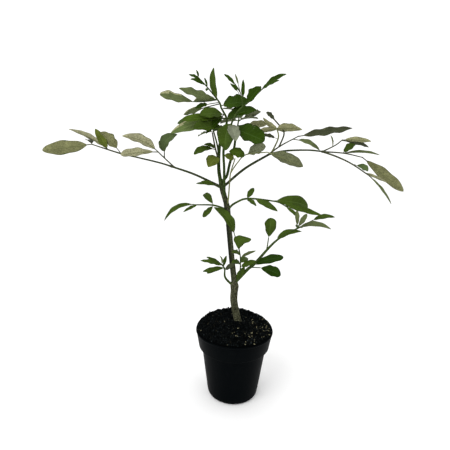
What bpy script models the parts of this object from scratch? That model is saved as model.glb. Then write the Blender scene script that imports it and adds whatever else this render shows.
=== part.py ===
"""A young radermachera in a black nursery pot. Sizes are in millimetres and angles in degrees.

X runs to the right, Y away from the viewer and Z up. The origin is the centre of the pot's flat underside.
A bearing is 0 along X and 90 along Y, and a rise is the angle above level.
"""

import math
import random

import bpy
from mathutils import Vector

MM = 0.001
GAP = 0.32  # between two pieces that would touch

# The pot: a tapering body, a shoulder and a flared band up to the rim.
RIM_R, RIM_Z = 65.0, 116.0
BAND_FOOT_R, BAND_FOOT_Z = 59.5, 89.0
SHOULDER_R, SHOULDER_Z = 54.2, 82.0
BODY_FOOT_R, BODY_FOOT_Z = 43.3, 6.0
UNDERSIDE_R = 38.0
WALL, FLOOR = 1.6, 2.4
POT_SIDES = 40

# The potting mix, heaped over the rim's inner lip.
HEAP = 9.4  # height of its middle above the rim
MIX_EDGE_R = 64.3
MIX_LIP = 1.6  # thickness of the spill that lies on the rim
MIX_SIDES = 40
MIX_RINGS = (1.0, 0.94, 0.86, 0.75, 0.62, 0.48, 0.34, 0.2, 0.08)  # shares of its radius
MIX_LUMP = 1.5
CREST = 5.0  # how much higher the mix is heaped along its rear edge
PAD_R, PAD_FADE = 13.0, 9.0  # the level place at the trunk's foot

TRUNK_FOOT = Vector((6.0, 0.0, RIM_Z + HEAP + GAP))
TRUNK_R, LEADER_R = 6.0, 2.2
FLARE_R, FLARE_HEIGHT = 8.2, 9.0
TRUNK_SIDES, BOUGH_SIDES, TWIG_SIDES = 10, 7, 3

LEAF_THICK, LEAF_THICK_SHARE = 1.0, 1 / 70  # at the midrib, and its least share of the length
STALK_HALF = 0.5
BLUNT = 1.35  # an outline's roundness: 1 is an ellipse and 2 a lens with sharp ends
BLADE_AT = (0.08, 0.33, 0.66, 0.9)  # where along the blade its width is given
SMALL_BLADE_AT = (0.2, 0.72)
SMALL_LEAF = 30.0

PLASTIC, SOIL, BARK, GREEN = "pot_plastic", "potting_mix", "bark", "leaf_green"


# Directions and paths


def heading(bearing, rise):
    b, r = math.radians(bearing), math.radians(rise)
    return Vector((math.cos(b) * math.cos(r), math.sin(b) * math.cos(r), math.sin(r)))


class Stem:
    """One tapering stem, bent from straight pieces (length, bearing, rise), from a place along its parent."""

    def __init__(self, parent, along, radii, pieces, start=None):
        self.points = [start if parent is None else parent.at(along)]
        self.along = [0.0]
        for length, bearing, rise in pieces:
            self.points.append(self.points[-1] + heading(bearing, rise) * length)
            self.along.append(self.along[-1] + length)
        self.radii = radii
        self.parent = parent

    def at(self, along):
        for i in range(1, len(self.along)):
            if along <= self.along[i] or i == len(self.along) - 1:
                share = (along - self.along[i - 1]) / (self.along[i] - self.along[i - 1])
                return self.points[i - 1].lerp(self.points[i], min(share, 1.0))

    def radius(self, along):
        """Radii are given at the start, at any middle places, and at the tip."""
        places = [r if isinstance(r, tuple) else None for r in self.radii]
        known = [(0.0, self.radii[0])] + [p for p in places if p] + [(self.along[-1], self.radii[-1])]
        for (a0, r0), (a1, r1) in zip(known, known[1:]):
            if along <= a1:
                return r0 + (r1 - r0) * (along - a0) / (a1 - a0)
        return known[-1][1]

    def smooth(self, per_piece):
        """(place along, point) down the stem, rounded at its bends."""
        p = [self.points[0] * 2 - self.points[1]] + self.points + [self.points[-1] * 2 - self.points[-2]]
        out = []
        for i in range(len(self.points) - 1):
            a, b, c, d = p[i : i + 4]
            for k in range(per_piece):
                t = k / per_piece
                place = (
                    b * 2 + (c - a) * t + (a * 2 - b * 5 + c * 4 - d) * t**2 + (b * 3 - a - c * 3 + d) * t**3
                ) / 2
                out.append((self.along[i] + (self.along[i + 1] - self.along[i]) * t, place))
        return out + [(self.along[-1], self.points[-1])]


class Leaf:
    """One leaflet: the chord from its foot on the stem to its tip, and the way its upper side faces.

    A face of 0 looks up, 90 to the viewer and -90 away from the viewer."""

    def __init__(self, stem, along, bearing, rise, length, width, face, arch, fold, stalk, bend, peak):
        self.foot = stem.at(along)
        self.way = heading(bearing, rise)
        f = math.radians(face)
        wanted = Vector((0.0, -math.sin(f), math.cos(f)))
        self.up = (wanted - self.way * wanted.dot(self.way)).normalized()
        self.side = self.way.cross(self.up)
        self.length, self.width, self.stalk, self.peak = length, width, stalk, peak
        self.sag = length * math.tan(math.radians(arch) / 4) / 2
        self.bend = length * bend
        self.fold = math.radians(fold)

    def rib(self, t):
        bow = self.up * self.sag + self.side * self.bend
        return self.foot + self.way * (self.length * t) + bow * (4 * t * (1 - t))

    def half(self, u):
        """Half the blade's width at u, from 0 at its foot to 1 at its tip, most at its peak."""
        foot = (u / self.peak) ** (BLUNT * self.peak)
        tip = ((1 - u) / (1 - self.peak)) ** (BLUNT * (1 - self.peak))
        return self.width / 2 * foot * tip


class Plan:
    """The stems and leaves of one foliage mass."""

    def __init__(self, seed):
        self.stems, self.leaves = [], []
        self.dice = random.Random(seed)

    def twig(self, parent, along, radii, *pieces):
        self.stems.append(Stem(parent, along, radii, pieces))
        return self.stems[-1]

    def leaf(
        self, stem, along, bearing, rise, length, width, face,
        arch=None, fold=None, stalk=0.1, bend=0.0, peak=0.45,
    ):  # fmt: skip
        arch = self.dice.uniform(15, 45) if arch is None else arch
        fold = self.dice.uniform(12, 28) if fold is None else fold
        self.leaves.append(Leaf(stem, along, bearing, rise, length, width, face, arch, fold, stalk, bend, peak))

    def frond(self, stem, first, step, pairs, length, width, spread, face):
        """Opposite leaflets in pairs along a stem, and one at its tip."""
        for k in range(pairs):
            along = first + step * k
            way = stem.at(along + 1) - stem.at(along - 1)
            bearing = math.degrees(math.atan2(way.y, way.x))
            for side in (-1, 1):
                out = bearing + side * (spread + self.dice.uniform(-9, 9))
                size = self.dice.uniform(0.85, 1.15)
                turn = self.dice.uniform(-15, 15)
                self.leaf(stem, along, out, self.dice.uniform(-20, 14), length * size, width * size, face + turn)
        way = stem.points[-1] - stem.points[-2]
        bearing = math.degrees(math.atan2(way.y, way.x))
        self.leaf(stem, stem.along[-1], bearing, -12, length * 1.25, width * 1.1, face)


# The limbs


def grow_limbs():
    limb = {}
    limb["trunk"] = Stem(
        None, 0, [TRUNK_R, (58, 6.2), (67, 7.0), (78, 4.9), (186, 4.4), (197, 5.0), (207, 4.3), (229, 4.4),
                  (246, 3.1), LEADER_R],
        [(40, 180, 78), (28, 180, 90), (40, 180, 82.5), (54, 171, 83), (36, 167, 83), (33, 173, 74),
         (29, 155, 77), (31, 95, 86), (23, 0, 83)],
        TRUNK_FOOT,
    )  # fmt: skip
    limb["bough_left"] = Stem(limb["trunk"], 232, [1.9, 1.45], [(48, 175, 23), (38, 174, 17)])
    limb["bough_left_outer"] = Stem(
        limb["bough_left"], 86, [1.35, 1.05], [(22, 175, 15), (34, 175, 11.5), (28, 174, 10.5)]
    )
    limb["bough_right"] = Stem(limb["trunk"], 231, [2.0, 1.6], [(46, -8, 42), (46, -9, 32)])
    limb["bough_right_outer"] = Stem(
        limb["bough_right"], 92, [1.45, 1.1], [(24, -10, 12), (33, -9, 3), (20, -11, -4)]
    )
    limb["side_leader"] = Stem(
        limb["trunk"], 214, [2.1, 1.7], [(20, -97, 60), (31, -105, 83), (28, -108, 80), (24, -35, 74)]
    )
    limb["rear_leader"] = Stem(
        limb["trunk"], 240, [2.2, 1.8], [(13, 12, 48), (20, 44, 73), (25, 33, 73), (14, 53, 78)]
    )
    return limb


# The foliage masses


def low_left(limb, plan):
    stem = plan.twig(limb["trunk"], 65, [2.0, 1.0], (23, -166, 46), (17, -114, 75), (10, -159, 58))
    plan.leaf(stem, 41, 174, -19, 30, 5, 60, peak=0.7)
    plan.leaf(stem, 43, -166, -8, 35, 8, 60, stalk=0.03, peak=0.5)
    plan.leaf(stem, 47, 127, -2, 27, 8, 60)
    plan.leaf(stem, 49, -174, 11, 36, 9, 45, stalk=0.03, peak=0.4)
    plan.leaf(stem, 50, 171, 22, 28, 6, 50)
    plan.leaf(stem, 50, -104, 50, 24, 6, 30)
    plan.leaf(stem, 44, 66, 58, 20, 6, 30)
    plan.leaf(stem, 38, -34, 38, 28, 8, 60)


def low_right(limb, plan):
    stem = plan.twig(
        limb["trunk"], 72, [2.7, 1.0],
        (19, -14, 50), (16, -23, 50), (17, -19, 45), (29, -20, 53), (20, -18, 50), (20, -16, 41),
        (21, -19, 31),
    )  # fmt: skip
    upright = plan.twig(stem, 11, [1.3, 0.8], (18, -72, 70), (23, -98, 74), (12, -121, 73))
    big = plan.twig(upright, 53, [0.8, 0.7], (31, -153, 70))
    plan.leaf(big, 31, 177, 51, 52, 16, 55, stalk=0.04, bend=0.12)
    plan.leaf(upright, 53, -40, 48, 32, 19, 70, stalk=0.06, bend=-0.36, peak=0.55)
    plan.leaf(upright, 41, -33, 30, 32, 6, 50)
    plan.leaf(upright, 46, -123, 21, 27, 11, 50)
    plan.leaf(upright, 24, -38, 27, 34, 11, 50)
    plan.leaf(upright, 30, -125, 16, 27, 11, 50)
    plan.leaf(upright, 30, 64, 7, 28, 12, 50)
    raised = plan.twig(stem, 81, [0.9, 0.7], (20, 44, 81))
    plan.leaf(raised, 20, 0, 86, 32, 20, 80, stalk=0.04, peak=0.68)
    plan.leaf(stem, 101, -17, 26, 44, 11, 60, bend=-0.13, peak=0.4)
    plan.leaf(stem, 44, -18, 22, 54, 14, 60, bend=-0.03, peak=0.62)
    low = plan.twig(stem, 40, [0.9, 0.7], (19, -36, 9))
    plan.leaf(low, 19, -27, -11, 35, 18, 60, stalk=0.04, bend=-0.04, peak=0.62)
    plan.leaf(stem, 141, -35, 60, 28, 8, 60, stalk=0.2, peak=0.6)
    plan.leaf(stem, 141, -128, 80, 29, 7, 60, stalk=0.2, peak=0.6)
    plan.leaf(stem, 141, -14, 3, 50, 9, 60, bend=-0.15)
    end = plan.twig(stem, 142, [0.9, 0.7], (28, 18, 25))
    plan.leaf(end, 28, 12, 7, 37, 9, 50, stalk=0.04, bend=-0.06)
    plan.leaf(stem, 140, 68, -4, 32, 12, 40)
    plan.leaf(stem, 6, -30, 62, 30, 11, 60, stalk=0.1)


def mid_left(limb, plan):
    stem = plan.twig(limb["trunk"], 195, [1.5, 0.9], (23, 175, 16), (29, 172, -1))
    plan.leaf(stem, 23, 131, 33, 30, 13, 60, peak=0.6)
    plan.leaf(stem, 23, -133, -36, 29, 9.5, 60, peak=0.6)
    plan.leaf(stem, 52, -176, -28, 58, 9, 60, arch=30, bend=0.16)
    plan.leaf(stem, 49, -156, -24, 27, 6, 60)


def mid_right(limb, plan):
    stem = plan.twig(
        limb["trunk"], 194, [1.6, 0.7],
        (12, -15, 50), (12, -12, 33), (11, -17, 23), (16, -15, 4), (24, -12, -4), (14, -13, -9),
        (15, -13, -27), (17, -12, -30),
    )  # fmt: skip
    plan.leaf(stem, 38, 28, 54, 21, 9.5, 60, peak=0.5)
    plan.leaf(stem, 38, -56, -19, 26, 8, 50)
    plan.leaf(stem, 50, -29, -22, 43, 11, 60)
    plan.leaf(stem, 78, 12, -8, 61, 23, 60, arch=60, peak=0.6)
    plan.leaf(stem, 98, -14, -12, 59, 10, 60, arch=10)
    plan.leaf(stem, 100, -34, -33.5, 29, 6, 60)


def axil(limb, plan):
    stem = plan.twig(
        limb["trunk"], 197, [1.1, 0.8], (23, -77, 72), (22, -80, 77), (15, -66, 78), (23, -50, 67)
    )
    fork = plan.twig(stem, 60, [0.9, 0.7], (20, -30, 53), (17, -23, 42), (31, -4, 8))
    plan.leaf(stem, 82, -159, 16, 18, 12, 60)
    plan.leaf(fork, 35, -164, 11, 26, 17, 60, stalk=0.04)
    plan.leaf(fork, 37, 15, 23, 33, 22, -55, peak=0.6)
    plan.leaf(fork, 68, -13, -20, 57, 21, -60, bend=-0.03, peak=0.5)


def fork_sprout(limb, plan):
    stem = plan.twig(limb["trunk"], 229, [0.9, 0.7], (14, -150, 24))
    plan.leaf(stem, 13, -158, 6, 33, 7, 50)
    plan.leaf(stem, 13, 157, 12, 27, 6, 50)


def left_inner(limb, plan):
    stem = plan.twig(limb["bough_left"], 82, [1.0, 0.8], (25, -160, 41.5), (12, -153, 42))
    lobed = plan.twig(stem, 22, [0.8, 0.7], (11, -82, 80))
    plan.leaf(lobed, 9, -29, 47, 37, 19, 70, stalk=0.04, bend=-0.2)
    plan.leaf(lobed, 9, -152, 64, 19, 9, 60)
    plan.leaf(stem, 33, -164, 23, 60, 18, -60, stalk=0.14, bend=-0.1)
    plan.leaf(stem, 35, -177, -6, 58, 16, -60, stalk=0.12, peak=0.66)


def left_outer(limb, plan):
    stem = plan.twig(limb["bough_left_outer"], 84, [1.2, 0.8], (25, 173, 15), (29, 174, 16))
    plan.leaf(stem, 2, -156, 47, 44, 21, -55, stalk=0.25, peak=0.5)
    plan.leaf(stem, 25, -135, 57, 37, 13, 60)
    plan.leaf(stem, 24, 168, 24, 78, 13, -50, peak=0.4)
    plan.leaf(stem, 53, 176, -8, 85, 23, -80, arch=20, peak=0.57)
    plan.leaf(stem, 52, 123, 11, 45, 12, 0)


def right_inner(limb, plan):
    stem = plan.twig(limb["bough_right"], 85, [1.2, 0.7], (30, 21, 34), (34, 16, 28))
    pair = plan.twig(stem, 12, [1.1, 0.9], (23, -21, 68), (15, -131, 66))
    curl = plan.twig(stem, 26, [1.1, 1.0], (21, -26, 71), (13, -157, 54), (17, -166, 43))
    plan.leaf(stem, 62, -3, 10, 84, 14, 60, arch=8, bend=0.005)
    plan.leaf(stem, 52, -17, -21, 45, 11, 50, arch=50, stalk=0.2)
    plan.leaf(pair, 21, -173, 11, 26, 8.5, 50, stalk=0.2)
    plan.leaf(curl, 45, -176, 40, 19, 9, 50, peak=0.6)
    plan.leaf(pair, 37, 10, 0, 41, 15, -60, stalk=0.02, peak=0.36)
    plan.leaf(pair, 37, -160, 32, 28, 8, -60, stalk=0.02, bend=0.1, peak=0.36)
    plan.leaf(pair, 36, 174, -8, 31, 9, -60, stalk=0.02)


def right_outer(limb, plan):
    stem = plan.twig(limb["bough_right_outer"], 79, [1.2, 0.8], (24, -10, -18), (24, -8, -24), (31, -9, -32))
    level = plan.twig(stem, 1, [1.0, 0.7], (35, 12, -2), (34, 14, -9))
    raised = plan.twig(stem, 1, [0.9, 0.7], (20, -23, 28), (13, -30, 39))
    plan.leaf(stem, 78, -9, -49, 55, 5, 50)
    plan.leaf(stem, 47, 6, -18, 29, 12, 60, stalk=0.3, peak=0.6)
    plan.leaf(stem, 70, 12, -20, 42, 5, -60)
    plan.leaf(level, 34, 9, -1, 61, 8, 35, arch=25)
    plan.leaf(level, 33, -25, 41, 27, 12, 50)
    plan.leaf(level, 68, 5, -35, 89, 18, -60, arch=15, peak=0.57)
    plan.leaf(raised, 32, -13, -2, 40, 9, -60, arch=35)
    plan.leaf(raised, 31, 14, -10, 47, 9, 60)
    plan.leaf(raised, 16, -135, 62, 18, 5, 30, stalk=0.04)


def top(limb, plan):
    stem = plan.twig(
        limb["trunk"], 314, [1.8, 0.6],
        (23, -14, 69), (21, -168, 63), (9, -164, 67), (26, -167, 47), (21, -169, 44),
    )  # fmt: skip
    plan.leaf(stem, 57, -177, 3, 87, 20, 60, fold=34, stalk=0.42, bend=-0.12, peak=0.62)
    plan.leaf(stem, 57, -166, 12, 60, 16, 60, stalk=0.2, bend=-0.1)
    plan.leaf(stem, 57, 174, -4, 37, 14, 60)
    plan.leaf(stem, 52, -158, -16, 40, 9, 60, stalk=0.5)
    plan.leaf(stem, 50, 166, -15, 61, 12, 60, stalk=0.45, bend=-0.04)
    plan.leaf(stem, 27, -155, -6, 71, 15, 60, bend=-0.03, peak=0.6)
    plan.leaf(stem, 27, -169, -17, 88, 22, 65)
    plan.leaf(stem, 12, -139, -6, 59, 22, 60, peak=0.62)
    plan.leaf(stem, 33, -140, -42, 46, 12, 60)
    plan.leaf(stem, 26, -22, 14, 50, 22, 60, stalk=0.05)
    plan.leaf(stem, 47, -7, 8, 45, 25, 60)
    plan.leaf(stem, 94, 168, 23, 21, 6, 55)
    plan.leaf(stem, 99, -127, 61, 11, 4, 40)
    plan.leaf(stem, 90, -167, 9, 19, 6, 60)
    plan.leaf(stem, 84, -150, 11, 16, 6, 60)
    plan.leaf(stem, 80, 141, 66, 16, 4, 40)
    plan.leaf(stem, 77, -100, -20, 18, 6, 40)
    plan.leaf(stem, 55, 162, 80, 49, 10, 75, fold=14, bend=-0.1)
    plan.leaf(stem, 33, -144, -6, 44, 21, 60, peak=0.55)
    plan.leaf(stem, 27, -175, -8, 75, 14, 60, peak=0.6)


def crown_left(limb, plan):
    stem = plan.twig(limb["trunk"], 273, [1.3, 1.0], (20, -150, 70), (26, -144, 75))
    plan.leaf(stem, 19, -145, -12, 40, 12, 60, bend=0.1, peak=0.6)
    plan.leaf(stem, 9, -122, -35, 30, 22, 60)
    plan.leaf(stem, 20, -146, 16, 22, 8, 60, bend=0.06)


def crown_right(limb, plan):
    stem = plan.twig(
        limb["side_leader"], 103, [1.5, 0.7], (16, -20, 69), (19, 13, 63), (24, 6, 42), (21, 8, 44)
    )
    plan.leaf(stem, 20, -70, 4, 32, 9, 60)
    plan.leaf(stem, 11, -7, -21, 55, 32, 60, bend=0.06, peak=0.58)
    plan.leaf(stem, 14, -78, -36, 43, 19, 50, arch=20, stalk=0.04, peak=0.5)
    plan.leaf(stem, 16, -119, -68, 43, 27, 70, stalk=0.04, bend=0.1)
    shoot = plan.twig(stem, 45, [0.8, 0.5], (20, 154, 77), (13, 156, 57), (9, 151, 49))
    plan.leaf(shoot, 22, 171, 46, 35, 7, 50, stalk=0.4)
    plan.leaf(shoot, 13, -161, 46, 26, 6, 50, stalk=0.45)
    plan.leaf(shoot, 16, 162, 72, 33, 3, 50, stalk=0.5)
    plan.leaf(shoot, 4, -93, 76, 34, 6, 50, stalk=0.3)
    plan.leaf(stem, 54, -41, 43, 30, 18, 60)
    plan.leaf(stem, 79, 13, 34, 48, 10, 50, stalk=0.2)
    plan.leaf(stem, 78, -35, 22, 34, 9, 50)
    plan.leaf(stem, 74, 58, 54, 15, 6, 50)


def crown_rear(limb, plan):
    stem = plan.twig(limb["rear_leader"], 72, [1.4, 0.8], (18, 60, 74), (20, 75, 62), (22, 85, 44))
    plan.leaf(stem, 18, 5, 11, 48, 15, -55, stalk=0.3, peak=0.6)
    plan.leaf(stem, 32, 12, 25, 41, 13, -50, stalk=0.3)
    plan.frond(stem, 34, 20, 2, 36, 17, 66, 10)


def crown_back(limb, plan):
    stem = plan.twig(limb["trunk"], 266, [1.4, 0.9], (30, 106, 70), (32, 116, 56), (30, 106, 34))
    plan.frond(stem, 62, 17, 2, 33, 17, 52, 10)


MASSES = {
    "foliage_low_left": low_left,
    "foliage_low_right": low_right,
    "foliage_mid_left": mid_left,
    "foliage_mid_right": mid_right,
    "foliage_axil": axil,
    "foliage_fork": fork_sprout,
    "foliage_left_inner": left_inner,
    "foliage_left_outer": left_outer,
    "foliage_right_inner": right_inner,
    "foliage_right_outer": right_outer,
    "foliage_crown_left": crown_left,
    "foliage_crown_right": crown_right,
    "foliage_crown_rear": crown_rear,
    "foliage_crown_back": crown_back,
    "foliage_top": top,
}


# Meshes


def clear_scene():
    for obj in list(bpy.data.objects):
        bpy.data.objects.remove(obj)


def material(name, colour, roughness):
    made = bpy.data.materials.new(name)
    made.use_nodes = True
    shader = made.node_tree.nodes["Principled BSDF"]
    shader.inputs["Base Color"].default_value = (*colour, 1.0)
    shader.inputs["Roughness"].default_value = roughness
    return made


def new_object(name, points, faces, look, collection=None):
    mesh = bpy.data.meshes.new(name)
    mesh.from_pydata([tuple(p * MM) for p in points], [], faces)
    mesh.materials.append(bpy.data.materials[look])
    obj = bpy.data.objects.new(name, mesh)
    (collection or bpy.context.scene.collection).objects.link(obj)
    return obj


def round_off(obj, angle):
    obj.data.shade_smooth()
    obj.data.set_sharp_from_angle(angle=math.radians(angle))


def rings_to_solid(rings, tip=None):
    """Points and outward faces of a closed skin over rings of equal count, with flat or pointed ends."""
    n = len(rings[0])
    points = [p for ring in rings for p in ring]
    faces = [tuple(reversed(range(n)))]
    for i in range(len(rings) - 1):
        for j in range(n):
            k = (j + 1) % n
            faces.append((i * n + j, i * n + k, (i + 1) * n + k, (i + 1) * n + j))
    last = (len(rings) - 1) * n
    if tip is None:
        faces.append(tuple(range(last, last + n)))
    else:
        points.append(tip)
        faces += [(last + j, last + (j + 1) % n, len(points) - 1) for j in range(n)]
    return points, faces


def spoke(k, sides, x=Vector((1.0, 0.0, 0.0)), y=Vector((0.0, 1.0, 0.0))):
    """The kth of evenly spread directions around a circle."""
    turn = math.tau * k / sides
    return x * math.cos(turn) + y * math.sin(turn)


def tube(stem, sides, per_piece, grow=0.0, longer=0.0, flare=False):
    """The rings of a stem. grow thickens it and longer carries both ends on."""
    spine = stem.smooth(per_piece)
    if flare:
        foot = [0.0, FLARE_HEIGHT * 0.35, FLARE_HEIGHT]
        spine = [(a, stem.at(a)) for a in foot] + [s for s in spine if s[0] > FLARE_HEIGHT * 1.4]
    rings, side = [], None
    for i, (along, place) in enumerate(spine):
        before, after = spine[max(i - 1, 0)][1], spine[min(i + 1, len(spine) - 1)][1]
        way = (after - before).normalized()
        if flare and i == 0:
            way = Vector((0.0, 0.0, 1.0))  # the flat cut at the mix
        if i in (0, len(spine) - 1) and longer:
            place = place + way * (longer if i else -longer)
        side = (side - way * side.dot(way)).normalized() if side else way.orthogonal().normalized()
        r = stem.radius(along) + grow
        if flare:
            r += (FLARE_R - TRUNK_R) * max(1 - along / FLARE_HEIGHT, 0) ** 2
        rings.append([place + spoke(k, sides, side, way.cross(side)) * r for k in range(sides)])
    return rings_to_solid(rings)


def leaf_solid(leaf):
    """A folded blade with sharp edges, thickest at its midrib, on a square stalk."""
    thick = max(LEAF_THICK, leaf.length * LEAF_THICK_SHARE) / 2
    rings = []

    def ring(t, half, lift):
        rib = leaf.rib(t)
        across, raised = leaf.side * (half * math.cos(leaf.fold)), leaf.up * (half * math.sin(leaf.fold))
        edge, far = raised + across, raised - across
        rings.append([rib + edge, rib + leaf.up * lift, rib + far, rib - leaf.up * lift])

    ring(0.0, STALK_HALF, STALK_HALF)
    if leaf.stalk * leaf.length > 2.0:
        ring(leaf.stalk, STALK_HALF, STALK_HALF)
    for u in BLADE_AT if leaf.length > SMALL_LEAF else SMALL_BLADE_AT:
        ring(leaf.stalk + (1 - leaf.stalk) * u, leaf.half(u), thick)
    return rings_to_solid(rings, leaf.rib(1.0))


def boolean(obj, operation, other=None, collection=None):
    """Applies one Boolean and keeps its result as a plain mesh."""
    cut = obj.modifiers.new("join", "BOOLEAN")
    cut.operation, cut.solver = operation, "EXACT"
    if collection:
        cut.operand_type, cut.collection = "COLLECTION", collection
    else:
        cut.object = other
    graph = bpy.context.evaluated_depsgraph_get()
    result = bpy.data.meshes.new_from_object(obj.evaluated_get(graph))
    obj.modifiers.clear()
    old, obj.data = obj.data, result
    bpy.data.meshes.remove(old)


def stand_clear(obj, parent, sides, per_piece):
    """Cuts the piece back from the limb it grows on."""
    wide = new_object("clearance", *tube(parent, sides, per_piece, GAP, GAP), BARK)
    boolean(obj, "DIFFERENCE", other=wide)
    bpy.data.objects.remove(wide)


def sides_of(name):
    return (TRUNK_SIDES, 2) if name == "trunk" else (BOUGH_SIDES, 2)


def build_limbs(limb):
    named = {id(stem): name for name, stem in limb.items()}
    for name, stem in limb.items():
        sides, per_piece = sides_of(name)
        obj = new_object(name, *tube(stem, sides, per_piece, flare=name == "trunk"), BARK)
        if stem.parent:
            stand_clear(obj, stem.parent, *sides_of(named[id(stem.parent)]))
        round_off(obj, 50)


def build_mass(name, grow, limb, seed):
    plan = Plan(seed)
    grow(limb, plan)
    group = bpy.data.collections.new(name + "_pieces")
    bpy.context.scene.collection.children.link(group)
    first = plan.stems[0]
    obj = new_object(name, *tube(first, TWIG_SIDES, 1), GREEN)
    for stem in plan.stems[1:]:
        new_object("twig", *tube(stem, TWIG_SIDES, 1), GREEN, group)
    for leaf in plan.leaves:
        new_object("leaf", *leaf_solid(leaf), GREEN, group)
    boolean(obj, "UNION", collection=group)
    for piece in list(group.objects):
        bpy.data.objects.remove(piece)
    bpy.data.collections.remove(group)
    parent = next(n for n, stem in limb.items() if stem is first.parent)
    stand_clear(obj, first.parent, *sides_of(parent))


def turned(profile, sides):
    """A closed solid of revolution from (radius, height) places that run outward below and inward above."""
    return rings_to_solid([[spoke(k, sides) * r + Vector((0.0, 0.0, z)) for k in range(sides)] for r, z in profile])


def build_pot():
    outer = [
        (UNDERSIDE_R, 0.0),
        (UNDERSIDE_R + 3.4, 1.6),
        (BODY_FOOT_R, BODY_FOOT_Z),
        (SHOULDER_R, SHOULDER_Z),
        (BAND_FOOT_R, BAND_FOOT_Z),
        (RIM_R, RIM_Z - 0.8),
        (RIM_R - 0.4, RIM_Z),
    ]
    inner = [
        (RIM_R - WALL, RIM_Z),
        (BAND_FOOT_R - WALL, BAND_FOOT_Z + 0.4),
        (SHOULDER_R - WALL, SHOULDER_Z + 0.4),
        (BODY_FOOT_R - WALL, BODY_FOOT_Z + 0.6),
        (UNDERSIDE_R + 1.0, FLOOR),
    ]
    obj = new_object("pot", *turned(outer + inner, POT_SIDES), PLASTIC)
    round_off(obj, 35)


def mix_height(x, y):
    """The mix's upper surface: a low heap with lumps, level at the trunk's foot."""
    r = math.hypot(x, y) / MIX_EDGE_R
    edge = RIM_Z + MIX_LIP
    heap = (HEAP - MIX_LIP) * (1 - min(r, 1.0) ** 2.6)
    lumps = math.sin(x * 0.21 + 1.3) * math.cos(y * 0.26 - 0.4) + 0.6 * math.sin(x * 0.4 - y * 0.33)
    turn = math.atan2(y, x)
    crest = max(math.sin(turn), 0.0) ** 0.6 * (1 + 0.2 * math.sin(5 * turn))
    back = CREST * crest * math.exp(-(((r - 0.86) / 0.15) ** 2))
    foot = math.hypot(x - TRUNK_FOOT.x, y - TRUNK_FOOT.y)
    share = min(max((foot - PAD_R) / PAD_FADE, 0.0), 1.0)
    rough = edge + heap + MIX_LUMP * lumps * (1 - r**4) + back
    return (RIM_Z + HEAP) * (1 - share) + rough * share


def build_mix():
    side = WALL + GAP
    profile = [
        (UNDERSIDE_R + 0.6, FLOOR + GAP),
        (BODY_FOOT_R - side, BODY_FOOT_Z + 0.9),
        (SHOULDER_R - side, SHOULDER_Z + 0.6),
        (BAND_FOOT_R - side, BAND_FOOT_Z + 0.6),
        (RIM_R - side, RIM_Z + GAP),
        (MIX_EDGE_R, RIM_Z + GAP),
    ]
    points, faces = turned(profile, MIX_SIDES)
    faces.pop()
    last = (len(profile) - 1) * MIX_SIDES
    for share in MIX_RINGS:
        first = len(points)
        for k in range(MIX_SIDES):
            x, y, _ = spoke(k, MIX_SIDES) * (MIX_EDGE_R * share)
            points.append(Vector((x, y, RIM_Z + MIX_LIP if share == 1.0 else mix_height(x, y))))
        for k in range(MIX_SIDES):
            j = (k + 1) % MIX_SIDES
            faces.append((last + k, last + j, first + j, first + k))
        last = first
    points.append(Vector((0.0, 0.0, mix_height(0.0, 0.0))))
    faces += [(last + k, last + (k + 1) % MIX_SIDES, len(points) - 1) for k in range(MIX_SIDES)]
    obj = new_object("soil", points, faces, SOIL)
    round_off(obj, 60)


def main():
    clear_scene()
    material(PLASTIC, (0.012, 0.015, 0.017), 0.42)
    material(SOIL, (0.012, 0.011, 0.009), 0.95)
    material(BARK, (0.085, 0.078, 0.045), 0.85)
    material(GREEN, (0.05, 0.095, 0.022), 0.5)
    build_pot()
    build_mix()
    limb = grow_limbs()
    build_limbs(limb)
    for seed, (name, grow) in enumerate(MASSES.items()):
        build_mass(name, grow, limb, seed)


main()
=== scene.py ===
"""A young radermachera in a black nursery pot: bark, green twigs, glossy leaflets and crumbly potting mix.

The limbs and sprays grow by the part's own rule, in millimetres and degrees until a mesh is made. X runs to
the right, Y away from the viewer and Z up, from the centre of the pot's flat underside. A bearing is 0 along
X and 90 along Y, and a rise is the angle above level.
"""

import math
import random
from functools import partial

import bpy
from mathutils import Matrix, Vector, noise


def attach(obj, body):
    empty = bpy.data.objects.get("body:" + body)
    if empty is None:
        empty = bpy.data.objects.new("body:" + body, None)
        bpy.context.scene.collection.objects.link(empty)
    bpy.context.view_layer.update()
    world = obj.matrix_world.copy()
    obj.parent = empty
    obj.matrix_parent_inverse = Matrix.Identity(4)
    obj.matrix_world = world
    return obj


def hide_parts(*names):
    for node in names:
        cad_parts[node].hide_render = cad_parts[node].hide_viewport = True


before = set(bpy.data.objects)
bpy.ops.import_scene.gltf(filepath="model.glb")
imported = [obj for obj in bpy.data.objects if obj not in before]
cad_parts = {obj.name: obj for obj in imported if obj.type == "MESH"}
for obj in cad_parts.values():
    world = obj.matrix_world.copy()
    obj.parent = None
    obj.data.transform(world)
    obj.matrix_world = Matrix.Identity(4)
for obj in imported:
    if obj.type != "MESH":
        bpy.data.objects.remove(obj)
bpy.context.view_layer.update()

MM = 0.001
UP = Vector((0.0, 0.0, 1.0))

# The pot: a tapering body, a shoulder and a flared band up to the rim
RIM_R, RIM_Z = 65.0, 116.0
BAND_FOOT_R, BAND_FOOT_Z = 59.5, 87.4
SHOULDER_R, SHOULDER_Z = 54.2, 84.4
BODY_FOOT_R, BODY_FOOT_Z = 43.3, 6.0
UNDERSIDE_R = 38.0
WALL, FLOOR = 1.6, 2.4
POT_SIDES = 144
POT_SHARP, MIX_SHARP = 50, 70  # edges steeper than this many degrees stay sharp

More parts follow.
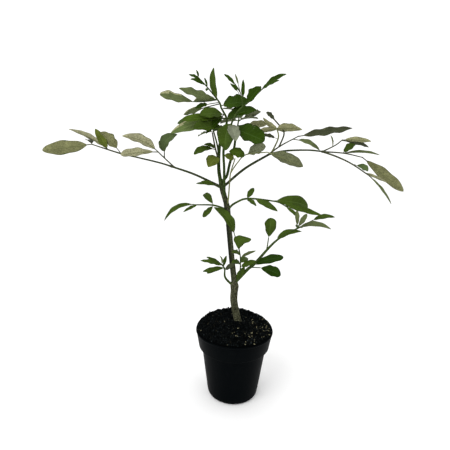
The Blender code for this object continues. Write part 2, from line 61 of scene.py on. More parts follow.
# The potting mix, heaped over the rim's inner lip
HEAP = 9.4
MIX_EDGE_R = 64.3
MIX_LIP = 1.6  # how far the heap's edge stands over the rim
MIX_LUMP = 1.5
MIX_GAP = 0.32  # between the mix and the pot or the trunk
MIX_LOWEST = RIM_Z + 0.35
MIX_FOOT_Z = FLOOR + 0.4
MOUND = 6.0  # how far it is pushed up against the trunk's foot
MOUND_LEAN, MOUND_BEARING = 0.45, 232  # how much more on one side, and on which
CREST = 5.0  # how much higher the mix is heaped along its rear edge
CLODS, CLODS_BEARING = 3.4, 125  # how far clods stand up from that crest, and where most
MIX_SIDES, MIX_RINGS = 180, 54
PAD_R, PAD_FADE = 7.5, 7.0  # the level place at the trunk's foot
CRUMBS_FROM_Z, CRUMBS_TO_R = RIM_Z + 0.34, MIX_EDGE_R - 1.9

# The trunk's foot, its flare, and the bark
TRUNK_FOOT = Vector((6.0, 0.0, RIM_Z + HEAP + MIX_GAP))
TRUNK_R, LEADER_R = 6.0, 2.2
FLARE_R, FLARE_HEIGHT = 7.3, 9.0
BURIED = 6.0  # how far the foot goes on under the mix
BARK_STEPS = 56  # rings to each straight piece of a limb
TRUNK_SIDES, BOUGH_SIDES = 44, 20
TRUNK_LESS, BOUGH_MORE = 0.1, 0.1  # taken off and added before the relief
BOUGH_SWELL, SWELL_REACH = 0.55, 9.0  # how much and how far a bough swells at its foot
YOUNG_R, AGEING = 3.2, 2.6  # the radius of the youngest rough wood, and how much more the oldest has
GREEN_FROM, GREEN_OVER = 226, 16  # where along the trunk its wood turns green
PAINTED_SHADE_FROM, PAINTED_SHADE_TO = 80, 215  # where along the trunk painted shade darkens its left side

# The twigs and leaves, with how much thicker a twig is than in the solids, most at its foot
TWIG_STEPS, TWIG_SIDES = 6, 8
TWIG_MORE, TWIG_SWELL = 1.16, 0.45
STALK_STEPS, MIDRIB_STEPS = 4, 11
MIDRIB_SUNK = 0.6  # how far a midrib lies under the blade's upper side
BLADE_STATIONS = 24
# places across a blade, from one margin to the other
BLADE_ACROSS = (-1.0, -0.8, -0.55, -0.3, -0.09, 0.0, 0.09, 0.3, 0.55, 0.8, 1.0)
BLADE_THICK = 0.42
BLUNT = 1.35  # an outline's roundness: 1 is an ellipse and 2 a lens with sharp ends

# The photograph's camera
PHOTO_WIDE, FOCAL = 450.0, 353.0  # pixels
SENSOR = 36.0  # its width, in millimetres
CAMERA_AT = Vector((-0.021, -0.560, 0.398))
CAMERA_DOWN, CAMERA_ROLL = 10.5, 1.65

# The stage
SKY = 1.16  # enough for the pale floor to merge with the background
FLOOR_REACH = 6000.0  # half the pale floor's side
KEY_AT, KEY_AIM = Vector((-0.9, -1.1, 1.5)), Vector((0.0, 0.0, 0.3))
KEY_SIZE, KEY_POWER = 1.1, 14.0  # metres and watts


# Directions and paths


def clamp(value, low=0.0, high=1.0):
    return min(max(value, low), high)


def heading(bearing, rise):
    b, r = math.radians(bearing), math.radians(rise)
    return Vector((math.cos(b) * math.cos(r), math.sin(b) * math.cos(r), math.sin(r)))


class Stem:
    """One tapering stem, bent from straight pieces (length, bearing, rise), from a place along its parent."""

    def __init__(self, parent, along, radii, pieces, start=None):
        self.points = [start if parent is None else parent.at(along)]
        self.along = [0.0]
        for length, bearing, rise in pieces:
            self.points.append(self.points[-1] + heading(bearing, rise) * length)
            self.along.append(self.along[-1] + length)
        self.radii = radii
        self.parent = parent

    def at(self, along):
        for i in range(1, len(self.along)):
            if along <= self.along[i] or i == len(self.along) - 1:
                share = (along - self.along[i - 1]) / (self.along[i] - self.along[i - 1])
                return self.points[i - 1].lerp(self.points[i], min(share, 1.0))

    def radius(self, along):
        """Radii are given at the start, at any middle places, and at the tip."""
        places = [r if isinstance(r, tuple) else None for r in self.radii]
        known = [(0.0, self.radii[0])] + [p for p in places if p] + [(self.along[-1], self.radii[-1])]
        for (a0, r0), (a1, r1) in zip(known, known[1:]):
            if along <= a1:
                return r0 + (r1 - r0) * (along - a0) / (a1 - a0)
        return known[-1][1]

    def smooth(self, per_piece):
        """(place along, point) down the stem, rounded at its bends."""
        p = [self.points[0] * 2 - self.points[1]] + self.points + [self.points[-1] * 2 - self.points[-2]]
        out = []
        for i in range(len(self.points) - 1):
            a, b, c, d = p[i : i + 4]
            for k in range(per_piece):
                t = k / per_piece
                place = (
                    b * 2 + (c - a) * t + (a * 2 - b * 5 + c * 4 - d) * t**2 + (b * 3 - a - c * 3 + d) * t**3
                ) / 2
                out.append((self.along[i] + (self.along[i + 1] - self.along[i]) * t, place))
        return out + [(self.along[-1], self.points[-1])]


class Leaf:
    """One leaflet: the chord from its foot on the stem to its tip, and the way its upper side faces.

    A face of 0 looks up, 90 to the viewer and -90 away from the viewer."""

    def __init__(self, stem, along, bearing, rise, length, width, face, arch, fold, stalk, bend, peak):
        self.foot = stem.at(along)
        self.way = heading(bearing, rise)
        f = math.radians(face)
        wanted = Vector((0.0, -math.sin(f), math.cos(f)))
        self.up = (wanted - self.way * wanted.dot(self.way)).normalized()
        self.side = self.way.cross(self.up)
        self.length, self.width, self.stalk, self.peak = length, width, stalk, peak
        self.sag = length * math.tan(math.radians(arch) / 4) / 2
        self.bend = length * bend
        self.fold = math.radians(fold)

    def rib(self, t):
        bow = self.up * self.sag + self.side * self.bend
        return self.foot + self.way * (self.length * t) + bow * (4 * t * (1 - t))

    def half(self, u):
        """Half the blade's width at u, from 0 at its foot to 1 at its tip, most at its peak."""
        foot = (u / self.peak) ** (BLUNT * self.peak)
        tip = ((1 - u) / (1 - self.peak)) ** (BLUNT * (1 - self.peak))
        return self.width / 2 * foot * tip


class Plan:
    """The stems and leaves of one foliage mass, and what each leaf and stem is coloured like."""

    def __init__(self, seed, dress, bark):
        self.stems, self.leaves = [], []
        self.dice = random.Random(seed)
        self.play = random.Random(seed + 500)  # for what the solids don't have
        self.dress, self.bark = dress, bark

    def twig(self, parent, along, radii, *pieces, bark=None):
        """A new stem, whose own leaf and twig methods add to this plan."""
        stem = Stem(parent, along, radii, pieces)
        stem.bark = bark or self.bark
        stem.leaf, stem.twig = partial(self.leaf, stem), partial(self.twig, stem)
        self.stems.append(stem)
        return stem

    def leaf(
        self, stem, along, bearing, rise, length, width, face=60,
        arch=None, fold=None, stalk=0.1, bend=0.0, peak=0.45, dress=None, wave=0.13, rim=0,
    ):  # fmt: skip
        """wave is how far the margin ripples, and rim is the side (1 or -1) whose outer part shows pale."""
        arch = self.dice.uniform(15, 45) if arch is None else arch
        fold = self.dice.uniform(12, 28) if fold is None else fold
        made = Leaf(stem, along, bearing, rise, length, width, face, arch, fold, stalk, bend, peak)
        made.dress, made.wave, made.rim = dress or self.dress, wave, rim
        made.bark = stem.bark
        made.ripples = self.play.uniform(2.2, 3.6)
        made.phase = (self.play.uniform(0, math.tau), self.play.uniform(0, math.tau))
        self.leaves.append(made)

    def frond(self, stem, first, step, pairs, length, width, spread, face):
        """Opposite leaflets in pairs along a stem, and one at its tip."""
        for k in range(pairs):
            along = first + step * k
            way = stem.at(along + 1) - stem.at(along - 1)
            bearing = math.degrees(math.atan2(way.y, way.x))
            for side in (-1, 1):
                out = bearing + side * (spread + self.dice.uniform(-9, 9))
                size = self.dice.uniform(0.85, 1.15)
                turn = self.dice.uniform(-15, 15)
                rise = self.dice.uniform(-20, 14)
                self.leaf(stem, along, out, rise, length * size, width * size, face + turn)
        way = stem.points[-1] - stem.points[-2]
        bearing = math.degrees(math.atan2(way.y, way.x))
        self.leaf(stem, stem.along[-1], bearing, -12, length * 1.25, width * 1.1, face)


# The limbs


def grow_limbs():
    limb = {}
    limb["trunk"] = Stem(
        None, 0, [TRUNK_R, (58, 6.2), (67, 7.0), (78, 4.9), (186, 4.4), (197, 5.0), (207, 4.3), (229, 4.4),
                  (246, 3.1), LEADER_R],
        [(40, 180, 78), (28, 180, 90), (40, 180, 82.5), (54, 171, 83), (36, 167, 83), (33, 173, 74),
         (29, 155, 77), (31, 95, 86), (23, 0, 83)],
        TRUNK_FOOT,
    )  # fmt: skip
    limb["bough_left"] = Stem(limb["trunk"], 232, [1.9, 1.45], [(48, 175, 23), (38, 174, 17)])
    limb["bough_left_outer"] = Stem(
        limb["bough_left"], 86, [1.35, 1.05], [(22, 175, 15), (34, 175, 11.5), (28, 174, 10.5)]
    )
    limb["bough_right"] = Stem(limb["trunk"], 231, [2.0, 1.6], [(46, -8, 42), (46, -9, 32)])
    limb["bough_right_outer"] = Stem(
        limb["bough_right"], 92, [1.45, 1.1], [(24, -10, 12), (33, -9, 3), (20, -11, -4)]
    )
    limb["side_leader"] = Stem(
        limb["trunk"], 214, [2.1, 1.7], [(20, -97, 60), (31, -105, 83), (28, -108, 80), (24, -35, 74)]
    )
    limb["rear_leader"] = Stem(
        limb["trunk"], 240, [2.2, 1.8], [(13, 12, 48), (20, 44, 73), (25, 33, 73), (14, 53, 78)]
    )
    return limb


# The foliage masses


def low_left(limb, plan):
    stem = plan.twig(limb["trunk"], 65, [2.0, 1.0], (23, -166, 46), (17, -114, 75), (10, -159, 58))
    stem.leaf(41, 174, -19, 30, 5, peak=0.7)
    stem.leaf(43, -166, -8, 35, 8, stalk=0.03, peak=0.5, wave=0.3)
    stem.leaf(47, 127, -2, 27, 8)
    stem.leaf(49, -174, 11, 36, 9, 45, stalk=0.03, peak=0.4, wave=0.3)
    stem.leaf(50, 171, 22, 28, 6, 50)
    stem.leaf(50, -104, 50, 24, 6, 30)
    stem.leaf(44, 66, 58, 20, 6, 30)
    stem.leaf(38, -34, 38, 28, 8, dress="dark")


def low_right(limb, plan):
    stem = plan.twig(
        limb["trunk"], 72, [2.7, 1.0],
        (19, -14, 50), (16, -23, 50), (17, -19, 45), (29, -20, 53), (20, -18, 50), (20, -16, 41),
        (21, -19, 31),
    )  # fmt: skip
    upright = stem.twig(11, [1.3, 0.8], (18, -72, 70), (23, -98, 74), (12, -121, 73))
    big = upright.twig(53, [0.8, 0.7], (31, -153, 70))
    big.leaf(31, 177, 51, 52, 16, 55, stalk=0.04, bend=0.12)
    upright.leaf(53, -40, 48, 32, 19, 70, stalk=0.06, bend=-0.36, peak=0.55)
    upright.leaf(41, -33, 30, 32, 6, 50, dress="grey")
    upright.leaf(46, -123, 21, 27, 11, 50)
    upright.leaf(24, -38, 27, 34, 11, 50)
    upright.leaf(30, -125, 16, 27, 11, 50)
    upright.leaf(30, 64, 7, 28, 12, 50)
    raised = stem.twig(81, [0.9, 0.7], (20, 44, 81))
    raised.leaf(20, 0, 86, 32, 20, 80, stalk=0.04, peak=0.68)
    stem.leaf(101, -17, 26, 44, 11, bend=-0.13, peak=0.4)
    stem.leaf(44, -18, 22, 54, 14, bend=-0.03, peak=0.62, dress="low_deep")
    low = stem.twig(40, [0.9, 0.7], (19, -36, 9))
    low.leaf(19, -27, -11, 35, 18, stalk=0.04, bend=-0.04, peak=0.62, dress="low_deep")
    stem.leaf(141, -35, 60, 28, 8, stalk=0.2, peak=0.6, dress="grey")
    stem.leaf(141, -128, 80, 29, 7, stalk=0.2, peak=0.6, dress="grey")
    stem.leaf(141, -14, 3, 50, 9, bend=-0.15, dress="grey")
    end = stem.twig(142, [0.9, 0.7], (28, 18, 25))
    end.leaf(28, 12, 7, 37, 9, 50, stalk=0.04, bend=-0.06)
    stem.leaf(140, 68, -4, 32, 12, 40)
    stem.leaf(6, -30, 62, 30, 11, stalk=0.1, dress="mid")


def mid_left(limb, plan):
    stem = plan.twig(limb["trunk"], 195, [1.5, 0.9], (23, 175, 16), (29, 172, -1))
    stem.leaf(23, 131, 33, 30, 13, peak=0.6)
    stem.leaf(23, -133, -36, 29, 9.5, peak=0.6)
    stem.leaf(52, -176, -28, 58, 9, arch=30, bend=0.16)
    stem.leaf(49, -156, -24, 27, 6)


def mid_right(limb, plan):
    stem = plan.twig(
        limb["trunk"], 194, [1.6, 0.7],
        (12, -15, 50), (12, -12, 33), (11, -17, 23), (16, -15, 4), (24, -12, -4), (14, -13, -9),
        (15, -13, -27), (17, -12, -30),
    )  # fmt: skip
    stem.leaf(38, 28, 54, 21, 9.5, peak=0.5)
    stem.leaf(38, -56, -19, 26, 8, 50)
    stem.leaf(50, -29, -22, 43, 11)
    stem.leaf(78, 12, -8, 61, 23, arch=60, peak=0.6)
    stem.leaf(98, -14, -12, 59, 10, arch=10)
    stem.leaf(100, -34, -33.5, 29, 6)


def axil(limb, plan):
    stem = plan.twig(
        limb["trunk"], 197, [1.1, 0.8], (23, -77, 72), (22, -80, 77), (15, -66, 78), (23, -50, 67)
    )
    fork = stem.twig(60, [0.9, 0.7], (20, -30, 53), (17, -23, 42), (31, -4, 8))
    stem.leaf(82, -159, 16, 18, 12, dress="olive")
    fork.leaf(35, -164, 11, 26, 17, stalk=0.04, dress="bright")
    fork.leaf(37, 15, 23, 33, 22, -55, peak=0.6, dress="grey")
    fork.leaf(68, -13, -20, 57, 21, -60, bend=-0.03, peak=0.5, dress="dusky")


def fork_sprout(limb, plan):
    stem = plan.twig(limb["trunk"], 229, [0.9, 0.7], (14, -150, 24))
    stem.leaf(13, -158, 6, 33, 7, 50)
    stem.leaf(13, 157, 12, 27, 6, 50)


def left_inner(limb, plan):
    stem = plan.twig(limb["bough_left"], 82, [1.0, 0.8], (25, -160, 41.5), (12, -153, 42))
    lobed = stem.twig(22, [0.8, 0.7], (11, -82, 80))
    lobed.leaf(9, -29, 47, 37, 19, 70, stalk=0.04, bend=-0.2, dress="lobe")
    lobed.leaf(9, -152, 64, 19, 9, dress="lobe")
    stem.leaf(33, -164, 23, 60, 18, -60, stalk=0.14, bend=-0.1)
    stem.leaf(35, -177, -6, 58, 16, -60, stalk=0.12, peak=0.66)


def left_outer(limb, plan):
    stem = plan.twig(limb["bough_left_outer"], 84, [1.2, 0.8], (25, 173, 15), (29, 174, 16))
    stem.leaf(2, -156, 47, 44, 21, -55, stalk=0.25, peak=0.5, dress="tan")
    stem.leaf(25, -135, 57, 37, 13, dress="olive")
    stem.leaf(24, 168, 24, 78, 13, -50, peak=0.4)
    stem.leaf(53, 176, -8, 85, 23, -80, arch=20, peak=0.57, dress="tan")
    stem.leaf(52, 123, 11, 45, 12, 0, dress="dark")


def right_inner(limb, plan):
    stem = plan.twig(limb["bough_right"], 85, [1.2, 0.7], (30, 21, 34), (34, 16, 28))
    pair = stem.twig(12, [1.1, 0.9], (23, -21, 68), (15, -131, 66), bark="pale")
    curl = stem.twig(26, [1.1, 1.0], (21, -26, 71), (13, -157, 54), (17, -166, 43))
    stem.leaf(62, -3, 10, 84, 14, arch=8, bend=0.005, wave=0.4)
    stem.leaf(52, -17, -21, 45, 11, 50, arch=50, stalk=0.2, dress="grey")
    pair.leaf(21, -173, 11, 26, 8.5, 50, stalk=0.2)
    curl.leaf(45, -176, 40, 19, 9, 50, peak=0.6)
    pair.leaf(37, 10, 0, 41, 15, -60, stalk=0.02, peak=0.36, dress="fawn")
    pair.leaf(37, -160, 32, 28, 8, -60, stalk=0.02, bend=0.1, peak=0.36, dress="fawn")
    pair.leaf(36, 174, -8, 31, 9, -60, stalk=0.02, dress="fawn")


def right_outer(limb, plan):
    stem = plan.twig(limb["bough_right_outer"], 79, [1.2, 0.8], (24, -10, -18), (24, -8, -24), (31, -9, -32))
    level = stem.twig(1, [1.0, 0.7], (35, 12, -2), (34, 14, -9))
    raised = stem.twig(1, [0.9, 0.7], (20, -23, 28), (13, -30, 39))
    stem.leaf(78, -9, -49, 55, 5, 50, dress="grey")
    stem.leaf(47, 6, -18, 29, 12, stalk=0.3, peak=0.6, dress="dusky")
    stem.leaf(70, 12, -20, 42, 5, -60)
    level.leaf(34, 9, -1, 61, 8, 35, arch=25, dress="grey")
    level.leaf(33, -25, 41, 27, 12, 50, dress="mid")
    level.leaf(68, 5, -35, 89, 18, -60, arch=15, peak=0.57, dress="tan")
    raised.leaf(32, -13, -2, 40, 9, -60, arch=35, dress="fawn")
    raised.leaf(31, 14, -10, 47, 9, dress="dark")
    raised.leaf(16, -135, 62, 18, 5, 30, stalk=0.04, dress="fawn")


def top(limb, plan):
    stem = plan.twig(
        limb["trunk"], 314, [1.8, 0.6],
        (23, -14, 69), (21, -168, 63), (9, -164, 67), (26, -167, 47), (21, -169, 44),
    )  # fmt: skip
    stem.leaf(57, -177, 3, 87, 20, fold=34, stalk=0.42, bend=-0.12, peak=0.62, dress="grey", rim=1)
    stem.leaf(57, -166, 12, 60, 16, stalk=0.2, bend=-0.1, dress="grey", wave=0.2)
    stem.leaf(57, 174, -4, 37, 14, dress="grey", rim=1)
    stem.leaf(52, -158, -16, 40, 9, stalk=0.5)
    stem.leaf(50, 166, -15, 61, 12, stalk=0.45, bend=-0.04, dress="grey", rim=1)
    stem.leaf(27, -155, -6, 71, 15, bend=-0.03, peak=0.6, dress="bright")
    stem.leaf(27, -169, -17, 88, 22, 65, dress="mid_flat", rim=1)
    stem.leaf(12, -139, -6, 59, 22, peak=0.62, dress="mid")
    stem.leaf(33, -140, -42, 46, 12)
    stem.leaf(26, -22, 14, 50, 22, stalk=0.05)
    stem.leaf(47, -7, 8, 45, 25)
    stem.leaf(94, 168, 23, 21, 6, 55)
    stem.leaf(99, -127, 61, 11, 4, 40)
    stem.leaf(90, -167, 9, 19, 6)
    stem.leaf(84, -150, 11, 16, 6)
    stem.leaf(80, 141, 66, 16, 4, 40)
    stem.leaf(77, -100, -20, 18, 6, 40)
    stem.leaf(55, 162, 80, 49, 10, 75, fold=14, bend=-0.1, dress="mid")
    stem.leaf(33, -144, -6, 44, 21, peak=0.55, dress="mid")
    stem.leaf(27, -175, -8, 75, 14, peak=0.6, dress="fawn")


def crown_left(limb, plan):
    stem = plan.twig(limb["trunk"], 273, [1.3, 1.0], (20, -150, 70), (26, -144, 75))
    stem.leaf(19, -145, -12, 40, 12, bend=0.1, peak=0.6)
    stem.leaf(9, -122, -35, 30, 22, dress="olive")
    stem.leaf(20, -146, 16, 22, 8, bend=0.06)


def crown_right(limb, plan):
    stem = plan.twig(
        limb["side_leader"], 103, [1.5, 0.7], (16, -20, 69), (19, 13, 63), (24, 6, 42), (21, 8, 44)
    )
    stem.leaf(20, -70, 4, 32, 9)
    stem.leaf(11, -7, -21, 55, 32, bend=0.06, peak=0.58)
    # this leaf's pale grey upper side is painted sheen
    stem.leaf(14, -78, -36, 43, 19, 50, arch=20, stalk=0.04, peak=0.5, dress="silver")
    stem.leaf(16, -119, -68, 43, 27, 70, stalk=0.04, bend=0.1, dress="mid")
    shoot = stem.twig(45, [0.8, 0.5], (20, 154, 77), (13, 156, 57), (9, 151, 49))
    shoot.leaf(22, 171, 46, 35, 7, 50, stalk=0.4)
    shoot.leaf(13, -161, 46, 26, 6, 50, stalk=0.45)
    shoot.leaf(16, 162, 72, 33, 3, 50, stalk=0.5, dress="grey")
    shoot.leaf(4, -93, 76, 34, 6, 50, stalk=0.3)
    stem.leaf(54, -41, 43, 30, 18)
    stem.leaf(79, 13, 34, 48, 10, 50, stalk=0.2)
    stem.leaf(78, -35, 22, 34, 9, 50)
    stem.leaf(74, 58, 54, 15, 6, 50)


def crown_rear(limb, plan):
    stem = plan.twig(limb["rear_leader"], 72, [1.4, 0.8], (18, 60, 74), (20, 75, 62), (22, 85, 44))
    stem.leaf(18, 5, 11, 48, 15, -55, stalk=0.3, peak=0.6, dress="fawn")
    stem.leaf(32, 12, 25, 41, 13, -50, stalk=0.3)
    plan.frond(stem, 34, 20, 2, 36, 17, 66, 10)


def crown_back(limb, plan):
    stem = plan.twig(limb["trunk"], 266, [1.4, 0.9], (30, 106, 70), (32, 116, 56), (30, 106, 34))
    plan.frond(stem, 62, 17, 2, 33, 17, 52, 10)


# Each mass with its rule, the look of most of its leaves and that of its twigs
MASSES = {
    "foliage_low_left": (low_left, "mid", "green"),
    "foliage_low_right": (low_right, "mid", "green"),
    "foliage_mid_left": (mid_left, "mid", "green"),
    "foliage_mid_right": (mid_right, "mid", "green"),
    "foliage_axil": (axil, "olive", "pale"),
    "foliage_fork": (fork_sprout, "mid", "green"),
    "foliage_left_inner": (left_inner, "pale", "brown"),
    "foliage_left_outer": (left_outer, "pale", "brown"),
    "foliage_right_inner": (right_inner, "dark", "brown"),
    "foliage_right_outer": (right_outer, "pale", "brown"),
    "foliage_crown_left": (crown_left, "mid", "brown"),
    "foliage_crown_right": (crown_right, "deep", "green"),
    "foliage_crown_rear": (crown_rear, "grey", "green"),
    "foliage_crown_back": (crown_back, "deep", "green"),
    "foliage_top": (top, "deep", "green"),
}

# The masses whose leaves are joined into one piece
LEAF_GROUPS = {
    "leaves_low": ("foliage_low_left", "foliage_low_right", "foliage_mid_left", "foliage_mid_right"),
    "leaves_left": ("foliage_left_inner", "foliage_left_outer", "foliage_fork"),
    "leaves_right": ("foliage_right_inner", "foliage_right_outer", "foliage_axil"),
    "leaves_crown": (
        "foliage_crown_left", "foliage_crown_right", "foliage_crown_rear", "foliage_crown_back",
        "foliage_top",
    ),
}  # fmt: skip

# For each dress, the colour of a leaf's upper side, of its underside, and how glossy the upper side is
DRESS = {
    "deep": ((0.020, 0.046, 0.001), (0.12, 0.15, 0.06), 0.40),
    "low_deep": ((0.012, 0.034, 0.0005), (0.11, 0.14, 0.05), 0.46),
    "mid": ((0.036, 0.064, 0.006), (0.13, 0.16, 0.07), 0.44),
    "mid_flat": ((0.092, 0.128, 0.038), (0.092, 0.128, 0.038), 0.48),
    "grey": ((0.088, 0.110, 0.042), (0.17, 0.19, 0.11), 0.46),
    "olive": ((0.088, 0.112, 0.016), (0.12, 0.15, 0.04), 0.46),
    "bright": ((0.046, 0.082, 0.006), (0.10, 0.13, 0.04), 0.46),
    "lobe": ((0.056, 0.080, 0.028), (0.15, 0.16, 0.08), 0.46),
    "dark": ((0.040, 0.046, 0.023), (0.15, 0.16, 0.08), 0.48),
    "dusky": ((0.070, 0.105, 0.034), (0.135, 0.148, 0.075), 0.48),
    "pale": ((0.050, 0.080, 0.020), (0.30, 0.295, 0.175), 0.44),
    "tan": ((0.050, 0.080, 0.020), (0.180, 0.184, 0.084), 0.44),
    "fawn": ((0.050, 0.080, 0.020), (0.235, 0.235, 0.120), 0.44),
    # painted sheen: the pale grey upper side stands for light glancing off a glossy leaf
    "silver": ((0.150, 0.165, 0.112), (0.18, 0.19, 0.13), 0.44),
}
FRESH = {"side_leader": 1.0, "rear_leader": 1.0}  # how green these boughs are
FRESH_ELSE = 0.15  # how green the other boughs are
BARK_MARKS = ("old", "fresh", "painted_shade")  # what every point of the bark is marked with: its age, its greenness and the painted shade on the trunk's left side
BARKS = {"green": (0.036, 0.060, 0.012), "brown": (0.050, 0.056, 0.027), "pale": (0.135, 0.148, 0.058)}
PALE_RIM = (0.33, 0.33, 0.18)


# Materials


class Value:
    """A number in a material's nodes, with its arithmetic written as Python."""

    def __init__(self, look, socket):
        self.look, self.socket = look, socket

    def math(self, operation, *others):
        values = dict(enumerate((self, *others)))
        return self.look.node("ShaderNodeMath", {"operation": operation}, values)

    def __add__(self, other):
        return self.math("ADD", other)

    def __mul__(self, other):
        return self.math("MULTIPLY", other)

    def __sub__(self, other):
        return self.math("SUBTRACT", other)

    def __rsub__(self, other):
        return self.look.node("ShaderNodeMath", {"operation": "SUBTRACT"}, {0: other, 1: self})

    __radd__, __rmul__ = __add__, __mul__

    def between(self, low, high):
        """0 below low and 1 above high, with a soft ramp from one to the other."""
        settings = {"interpolation_type": "SMOOTHSTEP"}
        values = {"Value": self, "From Min": low, "From Max": high}
        return self.look.node("ShaderNodeMapRange", settings, values)


class Look:
    """One material, made node by node."""

    def __init__(self, name):
        self.made = bpy.data.materials.new(name)
        self.made.use_nodes = True
        self.tree = self.made.node_tree
        self.shader = self.tree.nodes["Principled BSDF"]

    def node(self, kind, settings=None, values=None, out=0):
        """Adds a node, with its settings first and then its sockets' values or links."""
        made = self.tree.nodes.new(kind)
        for key, value in (settings or {}).items():
            setattr(made, key, value)
        for key, value in (values or {}).items():
            self.put(made.inputs[key], value)
        return Value(self, made.outputs[out])

    def put(self, socket, value):
        if isinstance(value, Value):
            self.tree.links.new(value.socket, socket)
        else:
            is_colour = isinstance(value, tuple) and socket.type == "RGBA" and len(value) == 3
            socket.default_value = (*value, 1.0) if is_colour else value

    def place(self, size=(1.0, 1.0, 1.0)):
        """Object coordinates in millimetres, stretched by size."""
        at = self.node("ShaderNodeTexCoord", out="Object")
        scale = tuple(1 / (MM * s) for s in size)
        return self.node("ShaderNodeMapping", {"vector_type": "POINT"}, {"Vector": at, "Scale": scale})

    def split(self, vector):
        made = self.node("ShaderNodeSeparateXYZ", values={0: vector}).socket.node
        return [Value(self, made.outputs[i]) for i in range(3)]

    def noise(self, at, scale, detail=3.0, rough=0.55):
        return self.node(
            "ShaderNodeTexNoise", None, {"Vector": at, "Scale": scale, "Detail": detail, "Roughness": rough}
        )

    def cells(self, at, scale, feature="F1"):
        return self.node("ShaderNodeTexVoronoi", {"feature": feature}, {"Vector": at, "Scale": scale})

    def mix(self, share, first, second):
        """From the first colour at 0 to the second at 1."""
        return self.node("ShaderNodeMix", {"data_type": "RGBA"}, {0: share, 6: first, 7: second}, out=2)

    def bump(self, height, strength, distance):
        return self.node(
            "ShaderNodeBump", None, {"Height": height, "Strength": strength, "Distance": distance * MM}
        )

    def finish(self, **sockets):
        for key, value in sockets.items():
            self.put(self.shader.inputs[key.replace("_", " ")], value)
        return self.made


def tone(colour, factor):
    return tuple(c * factor for c in colour)


def plastic_look():
    """Satin black plastic with a bluish cast, faint scuffs and a little dust on the band and the foot."""
    look = Look("pot_plastic")
    at = look.place()
    grain = look.noise(at, 1.1, 4.0, 0.6)
    cloud = look.noise(at, 0.045, 3.0)
    scuff = look.noise(look.place((9.0, 9.0, 0.7)), 0.8, 2.0).between(0.58, 0.72)
    height = look.split(at)[2]
    dust = (cloud.between(0.42, 0.75) * (0.35 + height.between(84.0, 116.0) * 0.5)) * grain.between(0.4, 0.7)
    base = look.mix(dust, (0.0006, 0.0012, 0.0016), (0.0036, 0.0044, 0.0046))
    base = look.mix(scuff * 0.2, base, (0.006, 0.0072, 0.0078))
    return look.finish(
        Base_Color=base,
        Roughness=0.4 + cloud * 0.1 + dust * 0.18,
        Normal=look.bump(grain + scuff * 0.6, 0.16, 0.12),
        Specular_IOR_Level=0.014,
    )


def mix_look():
    """Moist dark peat, black in its hollows and brown where it has dried."""
    look = Look("potting_mix")
    at = look.place()
    crumb = look.cells(at, 0.7)
    fine = look.noise(at, 1.6, 5.0, 0.7)
    dry = look.noise(at, 0.12, 4.0, 0.6).between(0.5, 0.75)
    base = look.mix(fine.between(0.4, 0.7), (0.0003, 0.0005, 0.0006), (0.0013, 0.0020, 0.0021))
    base = look.mix(dry * 0.4, base, (0.0036, 0.0042, 0.0040))
    return look.finish(
        Base_Color=base,
        Roughness=0.82 + fine * 0.16,
        Normal=look.bump(fine + (1 - crumb) * 0.7, 0.9, 1.1),
        Specular_IOR_Level=0.012,
    )


def crumb_look(name, dark, light, size):
    """One kind of crumb in the mix, from dark to light over a few millimetres."""
    look = Look(name)
    at = look.place()
    patch = look.noise(at, size, 2.0)
    fine = look.noise(at, 2.4, 3.0, 0.65)
    base = look.mix((patch * 0.6 + fine * 0.4).between(0.4, 0.62), dark, light)
    return look.finish(
        Base_Color=base,
        Roughness=0.75 + fine * 0.2,
        Normal=look.bump(fine, 0.6, 0.5),
        Specular_IOR_Level=0.03,
    )


def bark_look():
    """Olive-brown bark with grey lenticels and dark furrows, greener and smoother where the wood is thin, and
    darkened by painted shade on the trunk's left side above its node.
    """
    look = Look("bark")
    at = look.place((1.0, 1.0, 1.9))
    streak = look.noise(at, 0.62, 4.0, 0.66)
    patch = look.noise(look.place(), 0.11, 3.0)
    pit = look.noise(look.place((1.0, 1.0, 1.4)), 0.42, 2.0).between(0.54, 0.68)
    fleck = look.cells(look.place((1.3, 1.3, 0.9)), 0.34)
    dot = 1 - fleck.between(0.12, 0.36)
    # the wood's age, how green it is, and how much painted shade lies on it
    old_wood, fresh, painted_shade = (
        look.node("ShaderNodeAttribute", {"attribute_name": name}, out="Fac") for name in BARK_MARKS
    )
    young = 1 - old_wood
    old = look.mix(streak.between(0.36, 0.64), (0.010, 0.011, 0.006), (0.082, 0.082, 0.046))
    old = look.mix(patch.between(0.45, 0.7) * 0.4, old, (0.050, 0.054, 0.030))
    green = look.mix(streak.between(0.35, 0.7), (0.014, 0.019, 0.008), (0.050, 0.062, 0.026))
    base = look.mix(young, old, green)
    leafy = look.mix(streak.between(0.35, 0.7), (0.012, 0.026, 0.003), (0.036, 0.062, 0.011))
    base = look.mix(fresh, base, leafy)
    # lenticels, left out where the painted shade lies
    base = look.mix(dot * (0.6 - young * 0.3) * (1 - painted_shade), base, (0.17, 0.17, 0.11))
    base = look.mix(pit * (0.85 - young * 0.45), base, (0.005, 0.006, 0.003))
    # painted shade: the trunk's left side darkened above its node
    base = look.mix(painted_shade * 0.85, base, (0.007, 0.009, 0.005))
    return look.finish(
        Base_Color=base,
        Roughness=0.78 - young * 0.22 + streak * 0.1,
        Normal=look.bump(streak + dot * 0.5, 0.55, 0.5),
        Specular_IOR_Level=0.05,
    )


def twig_look(name, colour):
    """A green twig, finely lined along its length and darker in patches."""
    look = Look("twig_" + name)
    patch = look.noise(look.place(), 0.16, 3.0)
    line = look.noise(look.place(), 1.9, 3.0, 0.6)
    base = look.mix(patch.between(0.35, 0.7), tone(colour, 0.72), tone(colour, 1.25))
    return look.finish(
        Base_Color=base,
        Roughness=0.5 + line * 0.15,
        Normal=look.bump(line, 0.25, 0.25),
        Specular_IOR_Level=0.05,
    )


